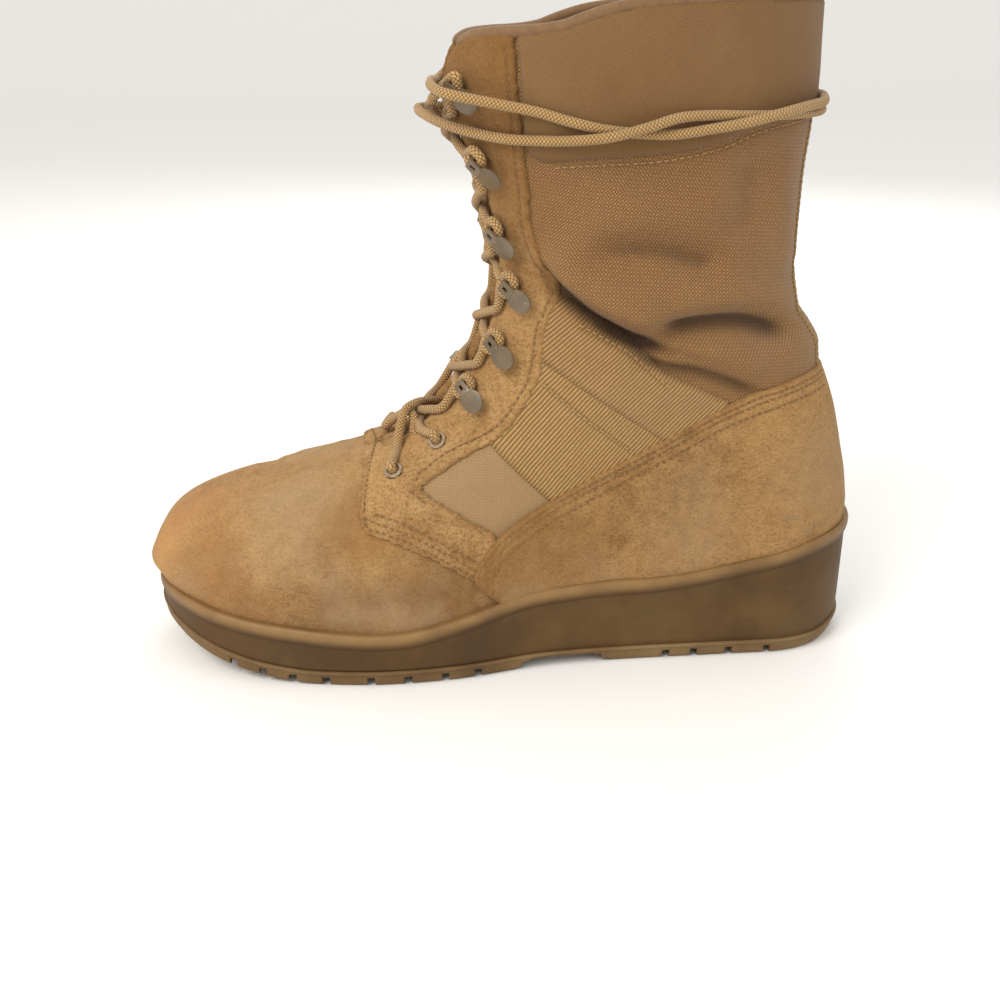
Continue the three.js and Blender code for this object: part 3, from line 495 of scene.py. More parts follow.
def fill_mesh(name, points, faces, uv=None, **attributes):
    """A smooth object from millimetre points, its own place in its mesh."""
    mesh = bpy.data.meshes.new(name)
    placed = (np.asarray(points, float) + [0, SHIFT_Y, 0]) * 0.001
    mesh.from_pydata(placed.tolist(), [], faces)
    if uv is not None:
        layer = mesh.uv_layers.new(name="cloth")
        corners = np.empty(len(mesh.loops), int)
        mesh.loops.foreach_get("vertex_index", corners)
        layer.data.foreach_set("uv", (np.asarray(uv)[corners] * 0.001).astype(np.float32).ravel())
    for key, values in attributes.items():
        mesh.attributes.new(key, "FLOAT", "POINT").data.foreach_set("value", np.asarray(values, np.float32))
    mesh.polygons.foreach_set("use_smooth", [True] * len(mesh.polygons))
    mesh.update()
    piece = bpy.data.objects.new(name, mesh)
    bpy.context.scene.collection.objects.link(piece)
    return piece


def to_polyline(q, line):
    """Distance of flat points from a polyline, and how far along it they are."""
    best, along = np.full(len(q), 1e9), np.zeros(len(q))
    done = 0.0
    for start, end in zip(line[:-1], line[1:]):
        step = end - start
        length = max(float(np.hypot(*step)), 1e-9)
        t = np.clip(((q - start) @ step) / length**2, 0, 1)
        d = np.hypot(*(q - start - t[:, None] * step).T)
        closer = d < best
        best[closer], along[closer] = d[closer], (done + t * length)[closer]
        done += length
    return best, along


def inside(q, ring):
    """Which flat points lie inside a closed polyline."""
    hit = np.zeros(len(q), bool)
    for (ax, ay), (bx, by) in zip(ring, np.roll(ring, -1, axis=0)):
        if ay == by:
            continue
        crosses = (q[:, 1] < max(ay, by)) & (q[:, 1] >= min(ay, by))
        x = ax + (q[:, 1] - ay) / (by - ay) * (bx - ax)
        hit ^= crosses & (q[:, 0] < x)
    return hit


# Cloth coordinates: millimetres round the boot from its back, and up from the sole
_gu = np.linspace(0, 1, 361)
_gv = np.linspace(-1.4, LAST_ROW, 240)
_G = form(*[g.ravel() for g in np.meshgrid(_gu, _gv)]).reshape(240, 361, 3)
_S = np.concatenate([np.zeros((240, 1)), np.cumsum(np.linalg.norm(np.diff(_G, axis=1), axis=2), axis=1)], 1)
_S = _S - _S[:, 180:181]
_T = np.concatenate([np.zeros((1, 361)), np.cumsum(np.linalg.norm(np.diff(_G, axis=0), axis=2), axis=0)], 0)


def cloth_map(u, v):
    a = np.mod(u, 1.0) * 360
    b = (np.clip(v, -1.4, LAST_ROW) + 1.4) / (LAST_ROW + 1.4) * 239
    i, j = np.clip(a.astype(int), 0, 359), np.clip(b.astype(int), 0, 238)
    s, t = a - i, b - j
    blend = lambda G: ((1 - t) * ((1 - s) * G[j, i] + s * G[j, i + 1])
                       + t * ((1 - s) * G[j + 1, i] + s * G[j + 1, i + 1]))
    return np.column_stack([blend(_S), blend(_T)])


def cut_panel(name, border, spacing, lift, drop, rim=0.7, rows=(), ragged=0.0, extra_lift=None,
              map_by="round"):
    """A panel whose face lies `lift` over the boot and whose rim is turned down by `drop`."""
    middle = np.array(border).mean(0)[None]
    e, f = 0.002, 0.05
    p0 = form(middle[:, 0], middle[:, 1])
    per_u = float(np.linalg.norm(form(middle[:, 0] + e, middle[:, 1]) - p0) / e)
    per_v = float(np.linalg.norm(form(middle[:, 0], middle[:, 1] + f) - p0) / f)
    scale = np.array([per_u, per_v])
    ring = resampled(np.column_stack([np.vstack([border, border[:1]]) * scale, np.zeros(len(border) + 1)]), spacing)
    ring = ring[:-1, :2]
    area = np.sum(ring[:, 0] * np.roll(ring[:, 1], -1) - ring[:, 1] * np.roll(ring[:, 0], -1))
    if area < 0:
        ring = ring[::-1]
    if ragged:
        chance = np.random.default_rng(len(name) * 7 + len(ring))
        jump = chance.normal(0, ragged, (len(ring), 2))
        ring = ring + (jump + np.roll(jump, 1, axis=0)) / 2
    low, high = ring.min(0), ring.max(0)
    columns = np.arange(low[0], high[0], spacing)
    levels = np.arange(low[1], high[1], spacing * 0.866)
    gx, gy = np.meshgrid(columns, levels)
    gx = gx + (np.arange(len(levels)) % 2)[:, None] * spacing / 2
    grid = np.column_stack([gx.ravel(), gy.ravel()])
    grid = grid[inside(grid, ring)]
    closed = np.vstack([ring, ring[:1]])
    grid = grid[to_polyline(grid, closed)[0] > 0.62 * spacing]
    points = [Vector(q) for q in np.vstack([ring, grid])]
    count = len(ring)
    found = delaunay_2d_cdt(points, [], [list(range(count))], 1, 1e-7)
    flat = np.array([tuple(q) for q in found[0]])
    faces = [list(f) for f in found[2]]
    origin = [ids[0] if ids else -1 for ids in found[3]]
    place = {old: new for new, old in enumerate(origin) if 0 <= old < count}
    loop = [place[k] for k in range(count) if k in place]
    depth, _ = to_polyline(flat, closed)
    uv = flat / scale
    rounding = rim * np.clip(1 - depth / 1.3, 0, 1) ** 2
    height = lift - rounding
    if extra_lift is not None:
        height = height + extra_lift(form(uv[:, 0], uv[:, 1]))
    p, n = on_boot(uv[:, 0], uv[:, 1], height)
    wall = len(p)
    lowered = p[loop] - n[loop] * drop
    points = np.vstack([p, lowered])
    for k in range(len(loop)):
        m = (k + 1) % len(loop)
        faces.append([loop[m], loop[k], wall + k, wall + m])
    cloth = cloth_map(uv[:, 0], uv[:, 1])
    cloth[:, 0] = -np.abs(cloth[:, 0])
    if map_by != "round":
        plain = form(uv[:, 0], uv[:, 1])
        cloth[:, 1] = plain[:, 2]
        if map_by == "side":
            cloth[:, 0] = plain[:, 0]
    cloth = np.vstack([cloth, cloth[loop]])
    edge = np.concatenate([depth, np.zeros(len(loop))])
    row, along = np.full(len(p), 50.0), np.zeros(len(p))
    for line in rows:
        near, at = to_polyline(flat, np.asarray(line) * scale)
        closer = near < row
        row[closer], along[closer] = near[closer], at[closer]
    row = np.concatenate([row, np.full(len(loop), 50.0)])
    deep = hollow(uv[:, 0], uv[:, 1])
    deep = np.concatenate([deep, deep[loop]])
    piece = fill_mesh(name, points, faces, cloth, edge=edge, row=row, fold=deep)
    print(name, len(faces), "faces")
    return piece


def offset_line(line, distance):
    """A side-view polyline in shares, moved to its left (or right) by millimetres."""
    p = np.asarray(line, float) * [SOLE_LENGTH, BOOT_HEIGHT]
    d = np.gradient(p, axis=0)
    n = np.column_stack([-d[:, 1], d[:, 0]]) / np.linalg.norm(d, axis=1)[:, None]
    return (p + n * distance) / [SOLE_LENGTH, BOOT_HEIGHT]


# %% Outlines that several panels share
EYESTAY_REAR = dense(np.vstack([
    eased([(0.505, 0.958), (0.505, 0.945), (0.513, 0.836), (0.526, 0.738), (0.529, 0.693), (0.545, 0.640), (0.564, 0.602),
           (0.558, 0.575), (0.548, 0.535), (0.543, 0.472), (0.526, 0.436), (0.508, 0.402), (0.485, 0.375), (0.432, 0.344),
           (0.383, 0.308)]),
    eased([(0.383, 0.308), (0.408, 0.290), (0.446, 0.264), (0.486, 0.234), (0.495, 0.20), (0.505, 0.16)])]))
EYESTAY_FRONT = dense(eased([(0.505, 0.16), (0.500, 0.118), (0.486, 0.132), (0.443, 0.174), (0.406, 0.202),
                             (0.359, 0.231), (0.330, 0.242), (0.304, 0.248), (0.305, 0.30), (0.322, 0.345),
                             (0.335, 0.37)]))
COUNTER_TOP = dense(eased([(0.492, 0.06), (0.490, 0.122), (0.470, 0.140), (0.445, 0.170), (0.460, 0.206),
                           (0.483, 0.236), (0.517, 0.264), (0.559, 0.294), (0.629, 0.336), (0.709, 0.381),
                           (0.785, 0.428), (0.88, 0.456), (0.925, 0.462)]))
COLLAR_LOW = dense(eased([(0.509, 0.95), (0.517, 0.836), (0.524, 0.785), (0.588, 0.793), (0.681, 0.797), (0.750, 0.813),
                    (0.792, 0.835), (0.87, 0.848)]))
TOP_EDGE = dense(eased([(0.432, 0.905), (0.437, 0.925), (0.447, 0.941), (0.465, 0.952), (0.55, 0.956), (0.585, 0.972),
                  (0.63, 0.987), (0.7, 0.993), (0.8, 0.998), (0.875, 1.0)]))
top_uv = {side: locate(TOP_EDGE, side) for side in (-1, 1)}
top_row_back = float(top_uv[-1][-1, 1])


def top_between(side, low, high):
    """The boot's top edge from one share of the length to another."""
    line = np.array([q for q, (x, z) in zip(top_uv[side], TOP_EDGE) if low <= x <= high])
    return line


STITCHES = []


def sewn(line, side, distance=0.0, lift=1.9, start=0.0, end=1.0, tint="dark"):
    """A stitch row beside a side-view line, put on the list of rows to sew; gives its u, v."""
    row = offset_line(line, distance) if distance else np.asarray(line, float)
    first, last = int(start * (len(row) - 1)), int(end * (len(row) - 1)) + 1
    uv = locate(row[first:last], side)
    STITCHES.append((uv, lift, tint))
    return uv


# %% [markdown]
# ### Vamp
# The vamp is one piece of suede pulled over the toe. It could be a grid wrapped onto the solid. Cut from its
# outline it also has a true edge under the eyestays, and it is as fine as its nap needs.

# %% Vamp: the suede front of the foot
vamp_rear = dense(eased([(0.545, 0.125), (0.525, 0.16), (0.47, 0.215), (0.40, 0.25), (0.37, 0.30), (0.365, 0.36)]))
outer_rear, inner_rear = locate(vamp_rear, -1), locate(vamp_rear, 1) - [1, 0]
base_u = np.linspace(inner_rear[0, 0], outer_rear[0, 0], 60)
vamp_border = np.vstack([np.column_stack([base_u, np.full(60, -1.25)]), outer_rear,
                         [[0, front_row(0.365)]], inner_rear[::-1]])
vamp = cut_panel("vamp", vamp_border, 1.5, 0.0, 0.6, rim=0)

# %% [markdown]
# ### Vent panels, webbing and shaft
# The shaft is woven nylon. Two bands of ribbed webbing are sewn over it beside the eyestay, and a smooth panel
# fills the corner below them. They could be one mesh with borders drawn by its material, but a band has a raised
# edge that catches the light, so each is a sheet of its own.

# %% Smooth vent panels, ribbed webbing and the shaft's woven cloth
VENT = dense([(0.36, 0.30), (0.40, 0.350), (0.485, 0.395), (0.60, 0.285), (0.54, 0.21), (0.48, 0.185),
              (0.42, 0.235), (0.37, 0.28)], closed=True)
WEB_LOW = dense([(0.474, 0.372), (0.500, 0.43), (0.530, 0.47), (0.535, 0.510), (0.543, 0.508), (0.622, 0.447),
                 (0.700, 0.395), (0.745, 0.38), (0.702, 0.335), (0.612, 0.275), (0.566, 0.250), (0.552, 0.287)],
                closed=True)
WEB_HIGH = dense([(0.530, 0.500), (0.535, 0.56), (0.552, 0.598), (0.575, 0.588), (0.600, 0.570), (0.652, 0.535),
                  (0.702, 0.480), (0.790, 0.43), (0.770, 0.39), (0.705, 0.372), (0.622, 0.436), (0.543, 0.497)],
                 closed=True)
SHAFT_FRONT = dense(eased([(0.478, 0.950), (0.485, 0.85), (0.498, 0.70), (0.520, 0.62), (0.505, 0.50), (0.47, 0.41)]))
SHAFT_LOW = dense(eased([(0.47, 0.41), (0.50, 0.36), (0.56, 0.30), (0.70, 0.32), (0.785, 0.39), (0.87, 0.43)]))
dressed = []
for side, word in ((-1, "outer"), (1, "inner")):
    vent = cut_panel(f"vent_panel_{word}", locate(VENT, side), 1.8, 0.1, 0.6, rim=0, map_by="side")
    low_row = sewn(dense([(0.548, 0.461), (0.600, 0.411), (0.659, 0.361)]), side, lift=1.05, tint="light")
    high_row = sewn(dense([(0.592, 0.552), (0.650, 0.515), (0.703, 0.462)]), side, lift=1.4, tint="light")
    lower = cut_panel(f"webbing_low_{word}", locate(WEB_LOW, side), 1.2, 1.0, 1.1, rim=0.3, rows=[low_row],
                      map_by="side")
    upper = cut_panel(f"webbing_high_{word}", locate(WEB_HIGH, side), 1.2, 1.35, 1.5, rim=0.3, rows=[high_row],
                      map_by="side")
    dressed += [vent, lower, upper]
outer_front, inner_front = locate(SHAFT_FRONT, -1), locate(SHAFT_FRONT, 1)
outer_low, inner_low = locate(SHAFT_LOW, -1), locate(SHAFT_LOW, 1)
shaft_border = np.vstack([outer_front, outer_low, inner_low[::-1], inner_front[::-1],
                          top_between(1, 0.478, 1), top_between(-1, 0.478, 1)[::-1]])
below_collar = [sewn(COLLAR_LOW, side, -2.6, 0.15, 0.34, tint="light") for side in (-1, 1)]
shaft = cut_panel("shaft_cloth", shaft_border, 1.5, 0.0, 0.6, rim=0, rows=below_collar, map_by="height")

# %% [markdown]
# ### Eyestays
# An eyestay carries the eyelets and hooks, so it is thick, rough suede with stitch rows along its rim and three
# at its foot. A bevelled slab would look moulded. A slightly ragged outline with its rim turned down looks cut.

# %% Eyestays: the suede that carries eyelets and hooks
eyestay_uv = {}
thin_front = lambda p: -1.5 * (1 - smoothstep(0.33, 0.37, share_of(p[:, 0]))) * smoothstep(84, 93, p[:, 2])
for side, word in ((-1, "outer"), (1, "inner")):
    rear, front = locate(EYESTAY_REAR, side), locate(EYESTAY_FRONT, side)
    top = top_between(side, 0, 0.505)
    start = float(np.interp(THROAT_BOTTOM_Z, front_line[:, 2], front_v))
    edge = throat_edge(np.linspace(start, top[0, 1] - 0.05, 90), side=side)
    middle_u = 0.0 if side < 0 else 1.0
    lower_middle = [[middle_u, start], [middle_u, front_row(0.345)]]
    border = np.vstack([rear[1:], front[1:], lower_middle[::-1], edge, top])
    eyestay_uv[side] = border
    rows = [sewn(EYESTAY_REAR, side, -2.6, 1.85, 0.03, 0.43), sewn(EYESTAY_REAR, side, -3.4, 1.85, 0.44, 0.80)]
    for away, first, last in ((1.9, 0.12, 0.75), (4.6, 0.16, 0.72), (7.6, 0.22, 0.70)):
        rows.append(sewn(EYESTAY_FRONT, side, -away, 1.85, first, last))
    rows.append(sewn(EYESTAY_FRONT, side, -1.9, 1.85, 0.78, 0.97))
    dressed.append(cut_panel(f"eyestay_{word}_suede", border, 1.1, 1.8, 3.6, ragged=0.42, rows=rows,
                             extra_lift=thin_front))

# %% [markdown]
# ### Counter and collar
# The counter cups the heel and the padded collar closes the top. Both lie over the shaft, so both are panels with
# a higher lift and a rim that reaches down to the cloth. The counter rises a little more where it laps the vamp.

# %% Counter and collar
outer_top, inner_top = locate(COUNTER_TOP, -1), locate(COUNTER_TOP, 1)
low_u = np.linspace(inner_top[0, 0], outer_top[0, 0], 80)
counter_border = np.vstack([np.column_stack([low_u, np.full(80, -1.25)]), outer_top[1:], inner_top[1:][::-1]])
lap = lambda p: 1.3 * (1 - smoothstep(0.50, 0.60, share_of(p[:, 0])))
counter_rows = []
for side in (-1, 1):
    for away, first in ((2.2, 0.13), (4.4, 0.15), (8.0, 0.18)):
        counter_rows.append(sewn(COUNTER_TOP, side, -away, 1.9, first))
counter = cut_panel("counter_suede", counter_border, 1.5, 1.9, 2.6, extra_lift=lap, rows=counter_rows)
outer_low, inner_low = locate(COLLAR_LOW, -1), locate(COLLAR_LOW, 1)
collar_border = np.vstack([outer_low, inner_low[::-1], top_between(1, 0.509, 1), top_between(-1, 0.509, 1)[::-1]])
collar = cut_panel("collar_cloth", collar_border, 1.5, 1.9, 2.0, rim=0.9, map_by="height")
dressed += [vamp, shaft, counter, collar]

# %% [markdown]
# ### Backstay
# A strip of webbing covers the back seam. A curve with a flat bevel would twist on the curved back. As a panel
# between two lines beside the seam, it lies flat all the way.

# %% Backstay: a strip of cloth up the back seam
levels = np.linspace(float(inner_top[-1, 1]) - 0.4, float(inner_low[-1, 1]) + 0.4, 60)
half_u = 13.0 * 0.002 / np.linalg.norm(form(np.full(60, 0.501), levels) - form(np.full(60, 0.499), levels), axis=1)
back_border = np.vstack([np.column_stack([0.5 - half_u, levels]), np.column_stack([0.5 + half_u, levels])[::-1]])
back_rows = []
for sign in (-1, 1):
    for share in (0.80, 0.58):
        back_rows.append(np.column_stack([0.5 + sign * share * half_u, levels]))
        STITCHES.append((back_rows[-1][3:-3], 0.8, "dark"))
backstay = cut_panel("backstay_strip", back_border, 1.4, 1.0, 1.2, rim=0.5, rows=back_rows)
dressed.append(backstay)

# %% [markdown]
# ## The cup sole
# The real sole is one moulding: a tread plate with lugs, and a wall that rises into a rounded lip round
# the suede. Both are lofts. A grid is bent round the foot's outline, one row of it for each height of
# the wall, and its two ends are merged.

# %% Loft helper
def loft(name, rings, closed_ends=False):
    """A grid primitive bent through rings of points, closed round each ring."""
    rings = np.asarray(rings, float)
    rows, columns = rings.shape[:2]
    deselect()
    bpy.ops.mesh.primitive_grid_add(x_subdivisions=columns, y_subdivisions=rows - 1, size=1)
    piece = bpy.context.object
    piece.name = piece.data.name = name
    start = np.empty(len(piece.data.vertices) * 3)
    piece.data.vertices.foreach_get("co", start)
    start = start.reshape(-1, 3)
    column = np.rint((start[:, 0] + 0.5) * columns).astype(int) % columns
    row = np.rint((start[:, 1] + 0.5) * (rows - 1)).astype(int)
    placed = (rings[row, column] + [0, SHIFT_Y, 0]) * 0.001
    piece.data.vertices.foreach_set("co", placed.ravel())
    bpy.ops.object.mode_set(mode="EDIT")
    bpy.ops.mesh.select_all(action="SELECT")
    bpy.ops.mesh.remove_doubles(threshold=1e-6)
    if closed_ends:
        bpy.ops.mesh.select_all(action="DESELECT")
        bpy.ops.mesh.select_mode(type="EDGE")
        bpy.ops.mesh.select_non_manifold()
        bpy.ops.mesh.fill_holes(sides=0)
        bpy.ops.mesh.select_all(action="SELECT")
    bpy.ops.mesh.normals_make_consistent(inside=False)
    bpy.ops.object.mode_set(mode="OBJECT")
    bpy.ops.object.shade_smooth()
    piece.location = (0, 0, 0)
    return piece


# %% Sole wall
# Columns: inset from the outline, millimetres from the sole's top; the part below the lip stretches
WALL = [(1.4, -30.0), (1.3, -29.4), (0.9, -28.4), (0.8, -26.4), (0.85, -14), (0.9, -8.0), (0.9, -7.2), (0.8, -6.7),
        (0.45, -6.2), (0.1, -5.3), (-0.2, -4.2), (-0.35, -3.0), (-0.3, -1.9), (-0.05, -1.0), (0.45, -0.4), (1.1, -0.05),
        (1.9, 0.0), (3.0, -0.1), (4.4, -0.3), (6.2, -0.7), (8.0, -1.4), (8.2, -6)]
around = np.linspace(0, 2 * np.pi, 720, endpoint=False)


def sole_edge(turn, inset):
    """The sole's outline, drawn back a little under the toe."""
    x, y = sole_outline(turn, inset)
    return x + 3.4 * smoothstep(-124, -157, x), y


def wall_ring(inset, below):
    x, y = sole_edge(around, inset)
    low = sole_bottom(x) + TREAD + 0.3
    wave = 0.25 * np.sin(x / 17.0) + 0.2 * np.sin(x / 7.3 + 1.0)
    top = sole_top(x) + wave
    lower = np.clip(below + 8, None, 0) * (top - low - 8) / 22
    return np.column_stack([x, y, top + max(below, -8.0) + lower])


wall_rows = resampled(np.column_stack([eased(WALL, 1), np.zeros(len(eased(WALL, 1)))]), 0.42)
sole_wall = loft("sole_wall", [wall_ring(a, b) for a, b, _ in wall_rows])
heights = np.empty(len(sole_wall.data.vertices) * 3)
sole_wall.data.vertices.foreach_get("co", heights)
heights = heights.reshape(-1, 3) * 1000
below_top = heights[:, 2] - sole_top(heights[:, 0])
sole_wall.data.attributes.new("lip", "FLOAT", "POINT").data.foreach_set("value", below_top.astype(np.float32))
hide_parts("midsole")
print("sole wall", len(sole_wall.data.polygons), "faces")

# %% [markdown]
# ### Tread plate
# Lugs could be modelled one by one. Cutting grooves out of a whole plate is shorter, and their walls come out
# straight, as from a mould.

# %% Tread plate with its lugs
# Each rung of this loft is a slice across the plate: up the outer wall, over, and down the inner wall
rungs = np.linspace(0.02, np.pi - 0.02, 220)
EDGE = [(9.0, 0.0), (5.0, 0.0), (3.3, 0.0), (2.6, 0.05), (2.1, 0.14), (1.8, 0.25), (1.3, 0.72), (1.1, 0.80), (0.3, 0.835),
        (0.1, 0.87), (0.1, 0.95), (0.4, 1.0), (5.0, 1.0)]


def slice_of(turn):
    ring = []
    for sign in (1, -1):
        part = []
        for inset, share in EDGE:
            x, y = sole_edge(np.array([sign * turn % (2 * np.pi)]), min(inset, 8 * np.sin(turn) + 0.1))
            z = sole_bottom(x) + share * TREAD
            part.append([x[0], y[0], z[0]])
        ring += part if sign > 0 else part[::-1]
    return ring


tread = loft("tread", [slice_of(t) for t in rungs], closed_ends=True)
GROOVES = [0.125, 0.165, 0.205, 0.25, 0.31, 0.36, 0.41, 0.455, 0.72, 0.76, 0.81, 0.865]
ARCH = [(0.5, -0.1), (0.505, 0.004), (0.54, 1), (0.6, 1), (0.64, 0.004), (0.645, -0.1)]


def cut_away(piece, low, high):
    """Cuts a box out of a piece."""
    deselect()
    middle = (np.array(low) + high) / 2
    bpy.ops.mesh.primitive_cube_add(size=1, location=middle * 0.001)
    tool = bpy.context.object
    tool.scale = (np.array(high) - low) * 0.001
    cut = piece.modifiers.new("groove", "BOOLEAN")
    cut.operation, cut.object, cut.solver = "DIFFERENCE", tool, "EXACT"
    bpy.context.view_layer.objects.active = piece
    bpy.ops.object.modifier_apply(modifier="groove")
    bpy.data.objects.remove(tool)


for share in GROOVES:
    x = TOE_X + share * SOLE_LENGTH
    roof = float(sole_bottom(np.array([x]))[0]) + 4
    cut_away(tread, (x - 1.6, -90, -20), (x + 1.6, 90, roof))
for start, end in ((0.205, 0.455), (0.72, 0.865)):
    cut_away(tread, (TOE_X + start * SOLE_LENGTH, -2.5, -20), (TOE_X + end * SOLE_LENGTH, 2.5, 4))
for k in range(12):
    t = (k + 0.5) / 12
    x = TOE_X + (0.505 + 0.135 * t) * SOLE_LENGTH
    height = 4.6 * min(1, 2.1 * math.sin(math.pi * t))
    cut_away(tread, (x - 1.75, -90, -20), (x + 1.77, 90, height))
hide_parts("outsole")
print("tread", len(tread.data.polygons), "faces")

# %% [markdown]
# ## Inside the boot
# Through the collar one sees the lining, the tongue behind the laces and the insole. The collar's edge
# is bound with a rolled strip.

# %% Lining, tongue and insole
start_row = float(np.interp(THROAT_BOTTOM_Z, front_line[:, 2], front_v))
edge_rows = np.linspace(start_row, top_uv[-1][0, 1] - 0.05, 60)
outer_edge, inner_edge = throat_edge(edge_rows), throat_edge(edge_rows, side=1)
lining_border = np.vstack([[[0, 0.0]], [[0, start_row]], outer_edge, top_uv[-1], top_uv[1][::-1],
                           inner_edge[::-1], [[1, start_row]], [[1, 0.0]]])
lining = cut_panel("lining", lining_border, 3.6, -2.3, -0.5, rim=0)
lining.data.flip_normals()
tongue_rows = np.linspace(7.0, 17.6, 76)
tongue_outer, tongue_inner = throat_edge(tongue_rows, 8), throat_edge(tongue_rows, 8, side=1) - [1, 0]
tongue = cut_panel("tongue_cloth", np.vstack([tongue_inner[::-1], tongue_outer]), 1.8, -2.6, 2.2, rim=0.8)
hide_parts("tongue")
insole_rings = [[2.5, 0.0], [2.5, 0.8], [4.0, 1.0], [10, 1.0], [20, 1.0]]


def insole_ring(extra, share):
    x, y = sole_edge(around[::4], 6.6 + extra)
    return np.column_stack([x, y, foot_bed(x) + 0.3 + 5 * share])


insole = loft("insole_cloth", [insole_ring(a, b) for a, b in insole_rings], closed_ends=True)
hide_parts("insole")


# %% [markdown]
# ### Cords and the collar's binding
# A lace could be a curve object with a round bevel. The mesh swept here also keeps how far round and along the
# cord each point lies, which the braid's material reads. The binding is the same sweep with a thicker section.

# %% Swept strips and cords
def smooth_path(points, step):
    """A curve through points, resampled at even steps."""
    p = np.asarray(points, float)
    q = np.vstack([2 * p[0] - p[1], p, 2 * p[-1] - p[-2]])
    out = []
    for a, b, c, d in zip(q[:-3], q[1:-2], q[2:-1], q[3:]):
        t = np.linspace(0, 1, 24, endpoint=False)[:, None]
        out.append(0.5 * (2 * b + (c - a) * t + (2 * a - 5 * b + 4 * c - d) * t**2 + (3 * b - a - 3 * c + d) * t**3))
    return resampled(np.vstack(out + [p[-1:]]), step)


def cord_mesh(name, path, radius, step=0.8, sides=14, squash=1.0):
    """A round cord along a path, with rounded ends and a map round and along it."""
    line = smooth_path(path, step)
    tangent = np.gradient(line, axis=0)
    tangent /= np.linalg.norm(tangent, axis=1)[:, None]
    across = np.cross(tangent[0], [0.31, 0.2, 0.93])
    frames = []
    for t in tangent:
        across = across - t * (across @ t)
        across /= np.linalg.norm(across)
        frames.append((across, np.cross(t, across)))
    count = len(line)
    taper = np.ones(count)
    taper[[0, -1]], taper[[1, -2]] = 0.45, 0.88
    angle = np.linspace(0, 2 * np.pi, sides, endpoint=False)
    rings = [c + radius * k * (np.outer(np.cos(angle), a) + squash * np.outer(np.sin(angle), b))
             for c, k, (a, b) in zip(line, taper, frames)]
    points = np.vstack(rings)
    length = np.concatenate([[0], np.cumsum(np.linalg.norm(np.diff(line, axis=0), axis=1))])
    faces = []
    for i in range(count - 1):
        for j in range(sides):
            k = (j + 1) % sides
            faces.append([i * sides + j, i * sides + k, (i + 1) * sides + k, (i + 1) * sides + j])
    faces.append(list(range(sides))[::-1])
    faces.append([(count - 1) * sides + j for j in range(sides)])
    turn = np.tile(np.sin(angle), count)
    other = np.tile(np.cos(angle), count)
    along = np.repeat(length, sides)
    return fill_mesh(name, points, faces, along=along, round_sin=turn, round_cos=other)


# %% Collar binding
rim_uv = np.vstack([top_between(-1, 0.44, 1), top_between(1, 0.44, 1)[::-1]])
rim_points, _ = on_boot(rim_uv[:, 0], rim_uv[:, 1], -0.2)
binding = cord_mesh("collar_binding", rim_points, 2.3, step=1.5, sides=16)
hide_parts("upper")

# %% [markdown]
# ## Hooks and eyelets
# A speed hook is stamped from sheet metal: a foot under the leather's edge, a neck that the lace lies
# round, and a round plate that keeps it there. One is modelled and copied to all twelve places.

# %% Lacing places
# Columns: kind, share of length, share of height, slope from straight ahead up towards the throat
LACING = [("eyelet", 0.351, 0.322, 1.5), ("eyelet", 0.411, 0.363, 1.5), ("hook", 0.463, 0.428, 1.0),
          ("hook", 0.503, 0.502, 0.85), ("hook", 0.524, 0.592, 0.65), ("hook", 0.509, 0.672, 0.42),
          ("hook", 0.487, 0.777, 0.35), ("hook", 0.459, 0.875, 0.4)]
HOOK_LENGTH, HOOK_WIDTH, HOOK_NECK, HOOK_METAL, HOOK_ROOM = 15.0, 9.6, 4.6, 1.1, 4.4


class Seat:
    """A place on the eyestay: its middle, its axis towards the throat, its side axis and its way out."""
    def __init__(self, side, share_x, share_z, slope, lift):
        uv = locate([(share_x, share_z)], side)
        p, n = on_boot(uv[:, 0], uv[:, 1], lift)
        self.uv, self.out = uv[0], n[0]
        forward = np.array([-1.0, 0, 0]) + self.out * self.out[0]
        forward /= np.linalg.norm(forward)
        second = np.cross(self.out, forward)
        turn = side * slope
        self.ahead = forward * math.cos(turn) + second * math.sin(turn)
        self.beside = second * math.cos(turn) - forward * math.sin(turn)
        self.middle, self.side = p[0], side

    def at(self, x, y, z):
        return self.middle + self.ahead * x + self.beside * y + self.out * z


seats = {side: [Seat(side, x, z, slope, 2.4) for _, x, z, slope in LACING] for side in (-1, 1)}


def placed_copy(model, name, seat):
    """A copy of a model with its own mesh, standing on a seat."""
    piece = model.copy()
    piece.data = model.data.copy()
    piece.name = piece.data.name = name
    bpy.context.scene.collection.objects.link(piece)
    co = np.empty(len(piece.data.vertices) * 3)
    piece.data.vertices.foreach_get("co", co)
    co = co.reshape(-1, 3) * 1000
    moved = seat.middle + np.outer(co[:, 0], seat.ahead) + np.outer(co[:, 1], seat.beside) + np.outer(co[:, 2], seat.out)
    piece.data.vertices.foreach_set("co", ((moved + [0, SHIFT_Y, 0]) * 0.001).ravel())
    piece.data.update()
    return piece


# %% [markdown]
# ### One hook
# The plate is a cylinder, dished by two insets. Its neck and foot are blocks joined to it, with a slot cut through.
# One outline extruded would be flat, and the real hook is seen best where it bends.

# %% Model one hook
def select_faces(piece, test):
    """Selects the faces in edit mode whose centre and normal pass a test."""
    bpy.ops.object.mode_set(mode="OBJECT")
    for face in piece.data.polygons:
        face.select = bool(test(face.center * 1000, face.normal))
    bpy.ops.object.mode_set(mode="EDIT")
    bpy.ops.mesh.select_mode(type="FACE")


deselect()
plate_z = HOOK_ROOM + 1.5 * HOOK_METAL
plate_x = -HOOK_LENGTH / 2 + HOOK_WIDTH / 2
neck_start = plate_x + 0.52 * HOOK_WIDTH


